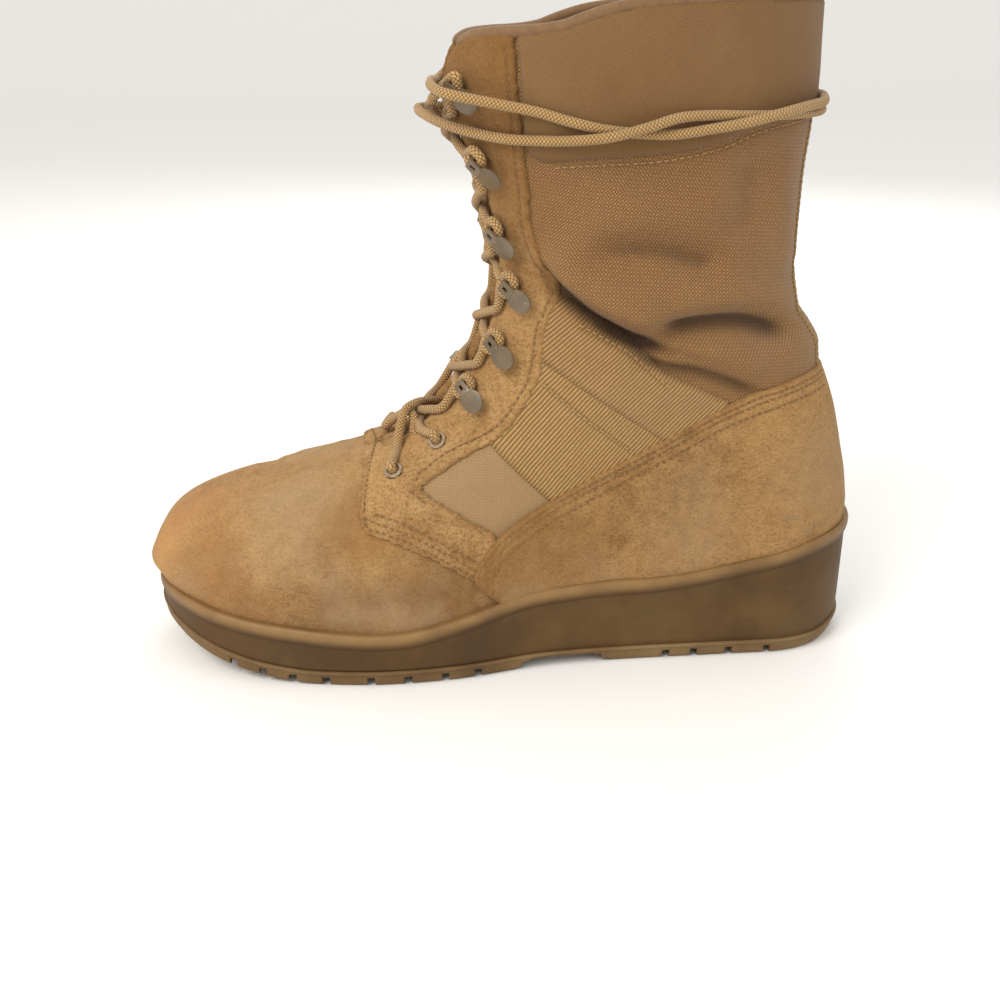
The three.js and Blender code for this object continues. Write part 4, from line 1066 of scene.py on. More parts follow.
def block(low, high):
    """A box between two corners in millimetres."""
    low, high = np.array(low) / 1000, np.array(high) / 1000
    bpy.ops.mesh.primitive_cube_add(size=1, location=(low + high) / 2, scale=high - low)
    bpy.ops.object.transform_apply(location=True, rotation=True, scale=True)
    return bpy.context.object


def combine(piece, other, operation):
    """Adds another piece to one, or cuts it away, and removes it."""
    change = piece.modifiers.new("change", "BOOLEAN")
    change.operation, change.object, change.solver = operation, other, "EXACT"
    bpy.context.view_layer.objects.active = piece
    bpy.ops.object.modifier_apply(modifier="change")
    bpy.data.objects.remove(other)


bpy.ops.mesh.primitive_cylinder_add(vertices=48, radius=0.96 * HOOK_WIDTH / 2000, depth=HOOK_METAL / 1000,
                                    location=(plate_x / 1000, 0, plate_z / 1000))
hook_model = bpy.context.object
bpy.ops.object.mode_set(mode="EDIT")
bpy.ops.mesh.select_all(action="SELECT")
bpy.ops.transform.resize(value=(1.14, 1.0, 1))
select_faces(hook_model, lambda c, n: n.z > 0.9)
bpy.ops.mesh.inset(thickness=0.0006, depth=0)
bpy.ops.mesh.inset(thickness=0.0005, depth=-0.00024)
bpy.ops.object.mode_set(mode="OBJECT")
bpy.ops.object.transform_apply(location=True, rotation=True, scale=True)
tip, low_z, high_z = HOOK_LENGTH / 2, plate_z - HOOK_METAL / 2, plate_z + HOOK_METAL / 2
half_neck = HOOK_NECK / 2
for low, high in (((neck_start - 1.2, -half_neck, low_z + 0.05), (tip, half_neck, high_z - 0.05)),
                  ((tip - HOOK_METAL, -half_neck, -0.4), (tip - 0.02, half_neck, high_z - 0.1)),
                  ((tip - 4.6, -half_neck + 0.1, -0.6), (tip - 0.04, half_neck - 0.1, 0.35))):
    combine(hook_model, block(low, high), "UNION")
combine(hook_model, block((neck_start + 0.9, -0.6, low_z - 1), (tip - 1.7, 0.6, high_z + 1)), "DIFFERENCE")
# the plate leans back to the boot, as a spoon does
for vertex in hook_model.data.vertices:
    if vertex.co.z > 1.6 * HOOK_METAL / 1000:
        vertex.co.z -= max(0.0, neck_start / 1000 - vertex.co.x) * 0.22
deselect()
hook_model.select_set(True)
bpy.context.view_layer.objects.active = hook_model
rounding = hook_model.modifiers.new("rounding", "BEVEL")
rounding.width, rounding.segments, rounding.limit_method, rounding.angle_limit = 0.00032, 3, "ANGLE", 0.6
bpy.ops.object.modifier_apply(modifier="rounding")
bpy.ops.object.shade_smooth_by_angle(angle=0.7)
print("hook", len(hook_model.data.polygons), "faces")

# %% [markdown]
# ### One eyelet
# An eyelet is a rolled metal ring. A torus pressed flat gives its round lip, and the lower part of its inner
# side is drawn down into the hole.

# %% Model one eyelet
deselect()
bpy.ops.mesh.primitive_torus_add(major_segments=40, minor_segments=14, major_radius=0.0031, minor_radius=0.00085)
eyelet_model = bpy.context.object
bpy.ops.object.mode_set(mode="EDIT")
bpy.ops.mesh.select_all(action="SELECT")
bpy.ops.transform.resize(value=(1, 1, 0.6))
select_faces(eyelet_model, lambda c, n: math.hypot(c.x, c.y) < 2.7 and c.z < 0.1)
bpy.ops.mesh.extrude_region_move(TRANSFORM_OT_translate={"value": (0, 0, -0.0016)})
bpy.ops.mesh.select_all(action="SELECT")
bpy.ops.mesh.normals_make_consistent(inside=False)
bpy.ops.object.mode_set(mode="OBJECT")
bpy.ops.object.shade_smooth()

# %% Put them in their places
metal_pieces = []
for side, word in ((-1, "outer"), (1, "inner")):
    counts = {"eyelet": 0, "hook": 0}
    for (kind, *_), seat in zip(LACING, seats[side]):
        counts[kind] += 1
        node = f"{kind}_{word}_{counts[kind]}"
        model = hook_model if kind == "hook" else eyelet_model
        piece = placed_copy(model, f"fine_{node}", seat)
        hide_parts(node)
        metal_pieces.append(piece)
drain = placed_copy(eyelet_model, "fine_drain_vent", Seat(1, 0.335, 0.19, 0, 0.5))
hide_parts("drain_vent")
metal_pieces.append(drain)
bpy.data.objects.remove(hook_model)
bpy.data.objects.remove(eyelet_model)

# %% [markdown]
# ## The lace
# One lace starts between the lowest eyelets and climbs in crosses. It comes up through the eyelets and
# lies round the necks of the hooks. Each half is one path, worked out from the lacing places.

# %% Crossed laces over the throat
LACE = 1.9
START_A = (-25.8, 18.2, 234.4)
START_B = (-27.4, -17.0, 230.8)


def strand(first, second, over):
    """Points over the throat from one seat to the next, lifted over or under the other strand."""
    a, b = first.uv.copy(), second.uv.copy()
    a[0], b[0] = (a[0] + 0.5) % 1 - 0.5, (b[0] + 0.5) % 1 - 0.5
    shares = np.array([0.22, 0.34, 0.43, 0.5, 0.57, 0.66, 0.78])
    uv = a + (b - a) * shares[:, None]
    middle = np.exp(-(((shares - 0.5) / 0.2) ** 2))
    lift = 3.9 - 1.5 * middle + (1.6 if over else -2.0) * np.exp(-(((shares - 0.5) / 0.11) ** 2))
    return list(on_boot(uv[:, 0], uv[:, 1], lift)[0])


# The lowest crossing is slack: its strands stand off the tongue
SLACK_FROM_OUTER = [(-45.3, -18, 92.1), (-43.8, -13, 100.0), (-41.4, -8, 106.1), (-37.0, -3, 107.6), (-32.3, 3, 106.6),
                    (-27.2, 9, 104.5)]
SLACK_FROM_INNER = [(-50.4, 9, 93.9), (-46.5, 4, 98.5), (-42.6, -1, 102.6), (-39.3, -5, 104.4), (-37.6, -9, 102.0),
                    (-37.2, -12.5, 98.0)]


def lace_path(first_side, over_first, end):
    """The path of one half of the lace, from under its first eyelet to the start of the free lace."""
    side = first_side
    points = [seats[side][0].at(2.5, 0, -7.5), seats[side][0].at(0.4, 0, -4.5), seats[side][0].at(0.1, 0, 0.8),
              seats[side][0].at(1.3, 0, 2.4)]
    for k in range(len(LACING) - 1):
        here, there = seats[side][k], seats[-side][k + 1]
        if k == 0:
            slack = SLACK_FROM_OUTER if side < 0 else SLACK_FROM_INNER
            points += [np.array(q, float) for q in slack]
        else:
            points += strand(here, there, (k % 2 == 0) == over_first)
        side = -side
        hand = there.side
        if LACING[k + 1][0] == "eyelet":
            points += [there.at(9.5, 0, -4.6), there.at(3, 0, -6.0), there.at(0.2, 0, -3.0), there.at(0.1, 0, 0.8),
                       there.at(1.4, 0, 2.4)]
        else:
            lace_z = HOOK_METAL + HOOK_ROOM / 2 - 0.3
            points += [there.at(9.6, -2.2 * hand, 2.0), there.at(7.0, -3.6 * hand, lace_z),
                       there.at(4.4, -2.9 * hand, lace_z), there.at(3.3, 0, lace_z),
                       there.at(4.4, 2.9 * hand, lace_z), there.at(7.0, 3.6 * hand, lace_z)]
            if k + 2 < len(LACING):
                points.append(there.at(9.6, 2.2 * hand, 2.2))
    points.append(np.array(end, float))
    return points


lace_a = cord_mesh("lace_half_a", lace_path(1, True, START_B), LACE)
lace_b = cord_mesh("lace_half_b", lace_path(-1, False, START_A), LACE)
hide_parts(*[f"lace_crossing_{k}" for k in range(1, 8)])
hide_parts(*[f"lace_crossing_{k}" for k in range(1, 8)])

# %% [markdown]
# ### Wraps, knot and ends
# The spare lace is wound round the collar and tied on the inner side. A simulated rope would settle anew on each
# run, so its paths are written down, and the knot is a trefoil curve pulled tight.

# %% The free lace, by the same points as its solids
WRAP_RIGHT = [
    (-25.8, 18.2, 234.4), (-27.2, 5.4, 235.8), (-25.8, -7.8, 236.4), (-28.2, -22, 235.8),
    (-23.8, -33.8, 233.4), (-9, -39.2, 230.6), (8.2, -40.8, 227.4), (20.2, -43.8, 224.2), (32.8, -45, 221.4),
    (45.6, -45.6, 220), (58.4, -45.4, 219.6), (71.6, -45.8, 221.4), (84.6, -46.2, 223.6), (97.8, -43, 226.4),
    (108.8, -36, 228.2), (118, -27.2, 229.2), (122.8, -15, 230), (125.6, -2.6, 230.4), (124, 10.2, 230.4),
    (118.6, 21.8, 229.8), (109.6, 31.2, 229.2), (98.4, 37.6, 228.8), (86.2, 42, 228.4), (73.4, 44.2, 227.4),
    (60.8, 45.4, 226.8), (47.8, 46, 226.6), (35, 46.4, 226)]
WRAP_LEFT = [
    (-27.4, -17, 230.8), (-27, -3.2, 229.2), (-28, 10.2, 225.6), (-22.2, 21.6, 221.2), (-8.2, 30, 218.4),
    (2.6, 36.8, 217.2), (14.6, 41.6, 217), (27.2, 44.2, 217), (40, 45.2, 217.2), (53, 45.2, 217.8),
    (65.8, 44.8, 219), (78.8, 43.6, 220.6), (91.4, 40, 222), (103.6, 34.6, 223.2), (114.6, 26.4, 224.2),
    (122, 15.6, 225), (125.4, 3, 225.4), (123.8, -10.4, 225.6), (118.2, -22.2, 225.6), (109.2, -31.8, 225.6),
    (97.6, -37.8, 225.4), (85.4, -42, 225.6), (72.6, -44.4, 226), (60, -46.4, 225.4), (47.4, -49.6, 222.2),
    (35, -49.2, 219.2), (22.8, -44.8, 217.6), (11, -40, 217.2), (-0.8, -34.8, 217.4), (-11.4, -27.6, 218.8),
    (-22.4, -18.2, 221.2), (-29.4, -5.8, 223.6), (-32.4, 8.4, 225), (-29.6, 21.2, 225), (-13.4, 29.8, 225),
    (-2.2, 36.2, 225), (9.6, 41.4, 225), (22, 45, 225.6)]
END_1 = [(32, 48.5, 221.8), (34.5, 48.5, 215), (36, 48, 206), (36.5, 47, 196), (35.5, 46, 184)]
END_2 = [(25, 48.5, 221.8), (22.5, 48.5, 214), (21, 48, 204), (21, 47, 193), (22.5, 46, 179)]
KNOT_MIDDLE, KNOT_RADII = np.array([28.5, 48, 226]), np.array([5.8, 3.6, 4.5])


def free_cord(name, points, node):
    piece = cord_mesh(name, points, LACE)
    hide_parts(node)
    return piece


turns = np.linspace(0, 2 * np.pi, 40)
trefoil = np.column_stack([np.sin(turns) + 2 * np.sin(2 * turns), -np.sin(3 * turns), np.cos(turns) - 2 * np.cos(2 * turns)])
knot = cord_mesh("lace_knot_tied", KNOT_MIDDLE + trefoil / 3 * (KNOT_RADII - [1.6, 1.4, 1.4]), 1.75)
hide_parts("lace_knot")
wrap_1 = free_cord("lace_wrap_right", WRAP_RIGHT, "lace_wrap_1")
wrap_2 = free_cord("lace_wrap_left", WRAP_LEFT, "lace_wrap_2")
tips = []
for k, end in enumerate((END_1, END_2)):
    low = smooth_path(end, 0.8)
    tips.append(cord_mesh(f"lace_tip_{k + 1}", np.vstack([low[-12:], [2 * low[-1] - low[-3]]]), LACE + 0.15))
end_1 = free_cord("lace_tail_1", END_1, "lace_end_1")
end_2 = free_cord("lace_tail_2", END_2, "lace_end_2")
laces = [lace_a, lace_b, knot, wrap_1, wrap_2, end_1, end_2]

# %% [markdown]
# ## Panels stand for their solids
# Each dressed piece takes the place of the solid that it was laid over, so that only one of them shows.

# %% Take the solids' places
for piece, node in ((vamp, "upper"), (shaft, "upper"), (lining, "upper"), (counter, "counter"), (collar, "collar")):
    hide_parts(node)
for word in ("outer", "inner"):
    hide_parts(f"eyestay_{word}")

# %% [markdown]
# ## Stitches
# A seam is a line of short threads that sink at both ends. One stitch is modelled, and its copies are laid
# along every row, a little uneven, as one mesh.

# %% One stitch
deselect()
bpy.ops.mesh.primitive_uv_sphere_add(segments=8, ring_count=6, radius=0.001, rotation=(0, math.pi / 2, 0))
stitch_model = bpy.context.object
bpy.ops.object.transform_apply(location=True, rotation=True, scale=True)
one = np.array([vertex.co[:] for vertex in stitch_model.data.vertices]) * 1000
one_faces = [list(face.vertices) for face in stitch_model.data.polygons]
bpy.data.objects.remove(stitch_model)
one[:, 2] -= 0.9 * one[:, 0] ** 2

# %% Copies along every row
chance = np.random.default_rng(11)
sets = {"dark": ([], []), "light": ([], [])}
for uv, lift, tint in STITCHES:
    points, faces = sets[tint]
    p, n = on_boot(uv[:, 0], uv[:, 1], lift)
    line = resampled(np.column_stack([p, n]), 2.9)
    p, n = line[:, :3], line[:, 3:]
    tangent = np.gradient(p, axis=0)
    for q, along, out in zip(p, tangent, n):
        along = along / np.linalg.norm(along)
        beside = np.cross(out, along)
        long, wide = 1.05 * chance.uniform(0.88, 1.1), 0.30 * chance.uniform(0.9, 1.1)
        turned = along + beside * chance.normal(0, 0.06)
        shape = (np.outer(one[:, 0] * long, turned) + np.outer(one[:, 1] * wide, beside)
                 + np.outer(one[:, 2] * 0.30 + 0.08, out / np.linalg.norm(out)))
        base = len(points) * len(one)
        points.append(q + shape)
        faces += [[base + k for k in face] for face in one_faces]
stitches = {tint: fill_mesh(f"stitches_{tint}", np.vstack(points), faces) for tint, (points, faces) in sets.items()}
print({tint: len(points) for tint, (points, faces) in sets.items()}, "stitches")

# %% [markdown]
# ## Finishes
# Every finish is built from nodes and reads the piece's own place or its own map. What several finishes
# share is a node group: the nap of suede, the crossing threads of a weave, the pressed groove along a
# stitch row, and the dust and scuffs of wear.

# %% Short words for nodes
class Nodes:
    """Adds nodes to a tree and links or fills their inputs."""
    def __init__(self, tree):
        self.tree = tree

    def add(self, kind, *inputs, **settings):
        node = self.tree.nodes.new("ShaderNode" + kind)
        for key, value in settings.items():
            setattr(node, key, value)
        for socket, value in zip(node.inputs, inputs):
            self.feed(socket, value)
        return node

    def feed(self, socket, value):
        if isinstance(value, bpy.types.NodeSocket):
            self.tree.links.new(value, socket)
        elif value is not None:
            socket.default_value = value

    def math(self, operation, a, b=None, c=None):
        return self.add("Math", a, b, c, operation=operation).outputs[0]

    def mix(self, factor, a, b, blend="MIX"):
        node = self.add("Mix", data_type="RGBA", blend_type=blend)
        for socket, value in zip((node.inputs[0], node.inputs[6], node.inputs[7]), (factor, a, b)):
            self.feed(socket, value)
        return node.outputs[2]

    def noise(self, vector, scale, detail=3.0, roughness=0.5, distortion=0.0):
        node = self.add("TexNoise")
        for key, value in (("Vector", vector), ("Scale", scale), ("Detail", detail),
                           ("Roughness", roughness), ("Distortion", distortion)):
            self.feed(node.inputs[key], value)
        return node.outputs["Fac"]

    def ease(self, value, low, high, to_low=0.0, to_high=1.0):
        return self.add("MapRange", value, low, high, to_low, to_high, interpolation_type="SMOOTHSTEP").outputs[0]

    def attribute(self, name):
        return self.add("Attribute", attribute_name=name).outputs["Fac"]

    def stretched(self, vector, scale, turn=0.0):
        node = self.add("Mapping")
        for key, value in (("Vector", vector), ("Scale", scale), ("Rotation", (0, 0, turn))):
            self.feed(node.inputs[key], value)
        return node.outputs[0]

    def bump(self, height, strength, distance, normal=None):
        node = self.add("Bump")
        for key, value in (("Height", height), ("Strength", strength), ("Distance", distance), ("Normal", normal)):
            if value is not None:
                self.feed(node.inputs[key], value)
        return node.outputs[0]


def ink(hex_code):
    """A screen colour such as b4875a as linear values."""
    parts = [int(hex_code[k:k + 2], 16) / 255 for k in (0, 2, 4)]
    return tuple(p / 12.92 if p <= 0.04045 else ((p + 0.055) / 1.055) ** 2.4 for p in parts) + (1.0,)


def new_group(name, inputs, outputs):
    """A node group with named inputs (with their usual values) and outputs."""
    tree = bpy.data.node_groups.new(name, "ShaderNodeTree")
    for label, kind, value in inputs:
        socket = tree.interface.new_socket(label, in_out="INPUT", socket_type="NodeSocket" + kind)
        if value is not None:
            socket.default_value = value
    for label, kind in outputs:
        tree.interface.new_socket(label, in_out="OUTPUT", socket_type="NodeSocket" + kind)
    start, end = tree.nodes.new("NodeGroupInput"), tree.nodes.new("NodeGroupOutput")
    return Nodes(tree), start.outputs, end.inputs


def use(nodes, group, **values):
    """Places a group in a tree, its inputs filled by name with _ for a space."""
    node = nodes.tree.nodes.new("ShaderNodeGroup")
    node.node_tree = group
    for key, value in values.items():
        nodes.feed(node.inputs[key.replace("_", " ")], value)
    return node.outputs


# %% [markdown]
# ### Four shared groups
# Each group gives plain values: a tone, a height or a mask. The materials decide which colours and how much
# relief they make of them.

# %% Group: suede nap
n, given, out = new_group("suede nap", [("Vector", "Vector", None), ("Fibre Size", "Float", 0.0009)],
                          [("Tone", "Float"), ("Height", "Float")])
scale = n.math("DIVIDE", 1.0, given["Fibre Size"])
fibre = n.noise(given["Vector"], scale, 5, 0.66, 0.2)
leaning = n.noise(n.stretched(given["Vector"], (0.7, 0.8, 1.3)), n.math("MULTIPLY", scale, 0.5), 4, 0.6, 0.5)
tuft = n.math("ADD", n.math("MULTIPLY", fibre, 0.6), n.math("MULTIPLY", leaning, 0.4))
n.feed(out["Height"], tuft)
brushed = n.noise(given["Vector"], n.math("MULTIPLY", scale, 0.09), 4, 0.6)
tone = n.math("ADD", n.math("MULTIPLY", tuft, 0.55), n.math("MULTIPLY", brushed, 0.45))
n.feed(out["Tone"], n.ease(tone, 0.34, 0.66))
NAP = n.tree

# %% Group: woven threads
# Warp and weft lie over each other in turn, so a thread's height is a sine across it and along it
n, given, out = new_group("woven threads", [("Vector", "Vector", None), ("Thread", "Float", 0.0015),
                                            ("Stretch", "Float", 1.0), ("Turn", "Float", 0.0), ("Rib", "Float", 0.0)],
                          [("Height", "Float"), ("Over", "Float"), ("Variation", "Float")])
apart = n.add("SeparateXYZ", given["Vector"]).outputs
cosine, sine = n.math("COSINE", given["Turn"]), n.math("SINE", given["Turn"])
x = n.math("ADD", n.math("MULTIPLY", apart[0], cosine), n.math("MULTIPLY", apart[1], sine))
y = n.math("SUBTRACT", n.math("MULTIPLY", apart[1], cosine), n.math("MULTIPLY", apart[0], sine))
x = n.math("DIVIDE", x, given["Thread"])
y = n.math("DIVIDE", y, n.math("MULTIPLY", given["Thread"], given["Stretch"]))
wander = n.noise(n.add("CombineXYZ", n.math("MULTIPLY", x, 0.12), n.math("MULTIPLY", y, 0.12), 0.0).outputs[0], 1.0, 2)
x = n.math("ADD", x, n.math("MULTIPLY", wander, 0.5))
y = n.math("ADD", y, n.math("MULTIPLY", wander, 0.4))
across_x = n.math("ABSOLUTE", n.math("SINE", n.math("MULTIPLY", x, math.pi)))
across_y = n.math("ABSOLUTE", n.math("SINE", n.math("MULTIPLY", y, math.pi)))
odd = n.math("MODULO", n.math("ADD", n.math("FLOOR", x), n.math("FLOOR", y)), 2.0)
odd = n.math("ABSOLUTE", odd)
warp = n.math("MULTIPLY", n.math("POWER", across_x, 0.6), n.math("MULTIPLY_ADD", across_y, 0.5, 0.5))
weft = n.math("MULTIPLY", n.math("POWER", across_y, 0.6), n.math("MULTIPLY_ADD", across_x, 0.5, 0.5))
plain = n.math("ADD", n.math("MULTIPLY", weft, odd), n.math("MULTIPLY", warp, n.math("SUBTRACT", 1.0, odd)))
rib = n.math("MULTIPLY", n.math("POWER", across_x, 0.8), n.math("MULTIPLY_ADD", across_y, 0.22, 0.78))
height = n.add("Mix", given["Rib"], data_type="FLOAT")
n.feed(height.inputs[2], plain)
n.feed(height.inputs[3], rib)
n.feed(out["Height"], height.outputs[0])
n.feed(out["Over"], odd)
cell = n.add("CombineXYZ", n.math("FLOOR", x), n.math("FLOOR", y), 0.0).outputs[0]
n.feed(out["Variation"], n.add("TexWhiteNoise", cell, noise_dimensions="2D").outputs["Value"])
WEAVE = n.tree

# %% Group: stitch groove and cut rim
n, given, out = new_group("seam", [("Rim", "Float", 5.0), ("Row", "Float", 5.0)],
                          [("Height", "Float"), ("Shade", "Float"), ("Rim Mask", "Float")])
groove = n.ease(given["Row"], 0.25, 1.25)
n.feed(out["Height"], groove)
n.feed(out["Shade"], n.ease(given["Row"], 0.0, 1.1, 1.0, 0.0))
n.feed(out["Rim Mask"], n.ease(given["Rim"], 0.1, 2.6, 1.0, 0.0))
SEAM = n.tree

# %% Group: dust and scuffs
n, given, out = new_group("dust and scuffs", [("Vector", "Vector", None), ("Amount", "Float", 0.5)],
                          [("Dust", "Float"), ("Scuff", "Float")])
z = n.add("SeparateXYZ", given["Vector"]).outputs[2]
cloud = n.noise(given["Vector"], 22, 5, 0.6)
fine = n.noise(given["Vector"], 160, 4, 0.6)
low = n.ease(z, 0.012, 0.075, 1.0, 0.0)
dust = n.math("MULTIPLY", n.ease(cloud, 0.42, 0.72), n.math("MULTIPLY_ADD", low, 0.7, 0.3))
n.feed(out["Dust"], n.math("MULTIPLY", dust, given["Amount"]))
streak = n.noise(n.stretched(given["Vector"], (0.25, 1.0, 1.6)), 95, 4, 0.62, 0.6)
scuff = n.math("MULTIPLY", n.ease(streak, 0.60, 0.74), n.ease(n.noise(given["Vector"], 14, 2), 0.5, 0.62))
n.feed(out["Scuff"], n.math("MULTIPLY", n.math("MULTIPLY", scuff, given["Amount"]), n.math("ADD", fine, 0.4)))
WEAR = n.tree


# %% Material starter
def new_material(name, roughness, sheen=0.0, coat=0.0, specular=0.5, sheen_tint=(1, 1, 1, 1)):
    """A Principled material; its constant values sit on the shader's own sockets."""
    material = bpy.data.materials.new(name)
    material.use_nodes = True
    shader = material.node_tree.nodes["Principled BSDF"]
    shader.inputs["Roughness"].default_value = roughness
    shader.inputs["Sheen Weight"].default_value = sheen
    shader.inputs["Sheen Roughness"].default_value = 0.45
    shader.inputs["Sheen Tint"].default_value = sheen_tint
    shader.inputs["Coat Weight"].default_value = coat
    shader.inputs["Specular IOR Level"].default_value = specular
    nodes = Nodes(material.node_tree)
    place = nodes.add("TexCoord").outputs["Object"]
    return material, nodes, shader.inputs, place


# %% [markdown]
# ### Suede
# Hair would be far too heavy for a whole boot. Fine noise gives both the tone and the relief of the tufts, a
# broader one the brushed patches, and listed soft spots give the worn places. Painted shade darkens the folds,
# the boot's top and the vamp beside the eyestay.

# %% Suede
def suede(name, deep, middle, light, fibre, nap_depth, wear, contrast=0.38, spots=()):
    """Rough-out leather: tufts of fibre, brushed light and dark, pressed along its seams."""
    material, n, shader, place = new_material(name, 0.92, sheen=0.25, specular=0.12, sheen_tint=ink("e8c79a"))
    nap = use(n, NAP, Vector=place, Fibre_Size=fibre)
    broad = n.noise(place, 16, 4, 0.55)
    colour = n.mix(n.ease(broad, 0.3, 0.7), ink(deep), ink(middle))
    colour = n.mix(n.math("MULTIPLY", nap["Tone"], 0.6), colour, ink(light))
    fine = n.ease(nap["Height"], 0.32, 0.56)
    colour = n.mix(n.math("MULTIPLY_ADD", fine, -contrast, contrast), colour, ink(deep), "MULTIPLY")
    apart = n.add("SeparateXYZ", place).outputs
    toe = n.math("MULTIPLY", n.ease(apart[0], -0.085, -0.152), n.ease(n.noise(place, 30, 3), 0.25, 0.7))
    colour = n.mix(n.math("MULTIPLY", toe, 0.4), colour, ink("a8683a"))
    for middle_point, reach, amount, tint in spots:
        away = n.add("VectorMath", place, middle_point, operation="DISTANCE").outputs["Value"]
        away = n.math("ADD", away, n.math("MULTIPLY_ADD", broad, 0.03, -0.015))
        colour = n.mix(n.ease(away, reach, 0.25 * reach, 0.0, amount), colour, ink(tint))
    # Painted shade: the suede darkens towards the boot's top, where the light falls off.
    high = n.ease(apart[2], 0.12, 0.24)
    colour = n.mix(n.math("MULTIPLY", high, 0.75), colour, ink("6c471e"))
    worn = use(n, WEAR, Vector=place, Amount=wear)
    colour = n.mix(n.math("MULTIPLY", worn["Dust"], 0.5), colour, ink("a8957a"))
    colour = n.mix(n.math("MULTIPLY", worn["Scuff"], 0.6), colour, ink("847662"))
    seam = use(n, SEAM, Rim=n.attribute("edge"), Row=n.attribute("row"))
    colour = n.mix(n.math("MULTIPLY", seam["Shade"], 0.22), colour, ink("6b4a28"))
    colour = n.mix(n.math("MULTIPLY", seam["Rim Mask"], 0.28), colour, ink("7a5630"))
    # Painted shade in the folds, darker the deeper they lie.
    colour = n.mix(n.ease(n.attribute("fold"), 0.0, 4.0, 0.0, 0.6), colour, ink("4a3119"))
    n.feed(shader["Base Color"], colour)
    normal = n.bump(seam["Height"], 0.8, 0.0005)
    normal = n.bump(broad, 0.3, 0.004, normal)
    n.feed(shader["Normal"], n.bump(nap["Height"], 0.8, nap_depth, normal))
    return material


# Worn places of the vamp and, sixth, a painted shade beside the eyestay's front edge: middle, reach, strength, tint
WORN_AND_SHADED_PLACES = [((-0.034, -0.050, 0.034), 0.030, 0.55, "6b4c29"), ((-0.066, -0.049, 0.034), 0.024, 0.50, "6f4f2a"),
               ((-0.087, -0.034, 0.075), 0.034, 0.34, "a18b68"), ((-0.123, -0.034, 0.050), 0.024, 0.45, "8a5d31"),
               ((-0.110, -0.045, 0.036), 0.020, 0.30, "86592d"), ((-0.060, -0.042, 0.070), 0.024, 0.50, "875d31"),
               ((-0.146, -0.015, 0.050), 0.020, 0.35, "b88653"), ((-0.080, 0.034, 0.070), 0.036, 0.34, "a18b68"),
               ((-0.040, 0.050, 0.034), 0.030, 0.45, "6b4c29"), ((-0.120, 0.036, 0.048), 0.026, 0.40, "8a5d31")]
vamp_suede = suede("vamp suede", "7a5a36", "987549", "b08c5f", 0.0006, 0.0005, 0.8, 0.45, spots=WORN_AND_SHADED_PLACES)
rough_suede = suede("eyestay suede", "87633b", "a57e4f", "c19c69", 0.0009, 0.0014, 0.3, 0.5)
counter_suede = suede("counter suede", "765530", "957146", "b08b5a", 0.0006, 0.0006, 0.6, 0.5, spots=[
    ((0.010, -0.050, 0.050), 0.045, 0.40, "7d5a2f"), ((0.130, -0.020, 0.080), 0.040, 0.35, "a58a66"),
    ((0.075, -0.045, 0.062), 0.032, 0.22, "a08560"), ((0.020, 0.050, 0.050), 0.045, 0.35, "7d5a2f")])


# %% [markdown]
# ### Woven nylon
# Two crossing waves in the cloth's own map are the threads, so they keep their true size on every panel. The
# same group turns into ribs for the webbing. Painted shade darkens the folds, by the depth that each panel keeps.

# %% Woven nylon
def woven(name, deep, light, thread, stretch, turn, depth, gloss=0.62, fade="a3845a", rib=0.0, worn_amount=0.7):
    """Nylon cloth: two sets of threads over and under each other, with worn and dusty places."""
    material, n, shader, place = new_material(name, gloss, sheen=0.12, specular=0.35)
    cloth = n.add("UVMap", uv_map="cloth").outputs[0]
    weave = use(n, WEAVE, Vector=cloth, Thread=thread, Stretch=stretch, Turn=turn, Rib=rib)
    under = n.math("MULTIPLY_ADD", weave["Over"], 0.3 * (1 - rib), 0.7 + 0.3 * rib)
    colour = n.mix(n.math("MULTIPLY", n.ease(weave["Height"], 0.12, 0.85), under), ink(deep), ink(light))
    colour = n.mix(n.math("MULTIPLY", weave["Variation"], 0.18), colour, ink(deep))
    worn = use(n, WEAR, Vector=place, Amount=worn_amount)
    colour = n.mix(n.math("MULTIPLY", worn["Dust"], 0.45), colour, ink(fade))
    cloud = n.ease(n.noise(place, 12, 3), 0.35, 0.7)
    colour = n.mix(n.math("MULTIPLY", cloud, 0.25), colour, ink(fade), "SOFT_LIGHT")
    seam = use(n, SEAM, Rim=n.attribute("edge"), Row=n.attribute("row"))
    colour = n.mix(n.math("MULTIPLY", seam["Rim Mask"], 0.25), colour, ink(deep))
    colour = n.mix(n.math("MULTIPLY", seam["Shade"], 0.35), colour, ink(deep))
    # Painted shade in the folds, darker the deeper they lie.
    colour = n.mix(n.ease(n.attribute("fold"), 0.0, 4.6, 0.0, 0.9), colour, ink("351f0a"))
    n.feed(shader["Base Color"], colour)
    normal = n.bump(seam["Height"], 0.7, 0.0005)
    n.feed(shader["Normal"], n.bump(weave["Height"], 0.85, depth, normal))
    return material


shaft_nylon = woven("shaft nylon", "573a1a", "9e7542", 0.00098, 1.0, 0.70, 0.0004)
web_nylon = woven("webbing nylon", "5f4523", "a5814a", 0.00140, 0.8, -0.73, 0.00045, rib=1.0)
web_nylon_high = woven("webbing nylon high", "654a27", "a17d4b", 0.00140, 0.8, -0.80, 0.00045, rib=1.0)
collar_nylon = woven("collar nylon", "5e4221", "88653a", 0.00062, 1.0, 0.5, 0.0002, 0.75)
vent_nylon = woven("vent nylon", "7c5f3c", "a5865a", 0.00072, 1.0, 0.75, 0.00022, 0.55, "b59a78", 0.0, 1.2)
tongue_nylon = woven("tongue nylon", "6b4c2e", "a07c50", 0.0010, 1.0, 0.0, 0.0003, 0.7)
lining_knit = woven("lining knit", "4a3826", "7a6043", 0.0016, 1.3, 0.0, 0.0004, 0.9)
binding_cloth = new_material("binding cloth", 0.85, sheen=0.2)[0]


# %% [markdown]
# ### Braid
# A braid's strands wind both ways round the cord. The waves of the weave would do, but on a cord they must close
# round it, so they are counted in whole strands by the sine and cosine of each point's angle.

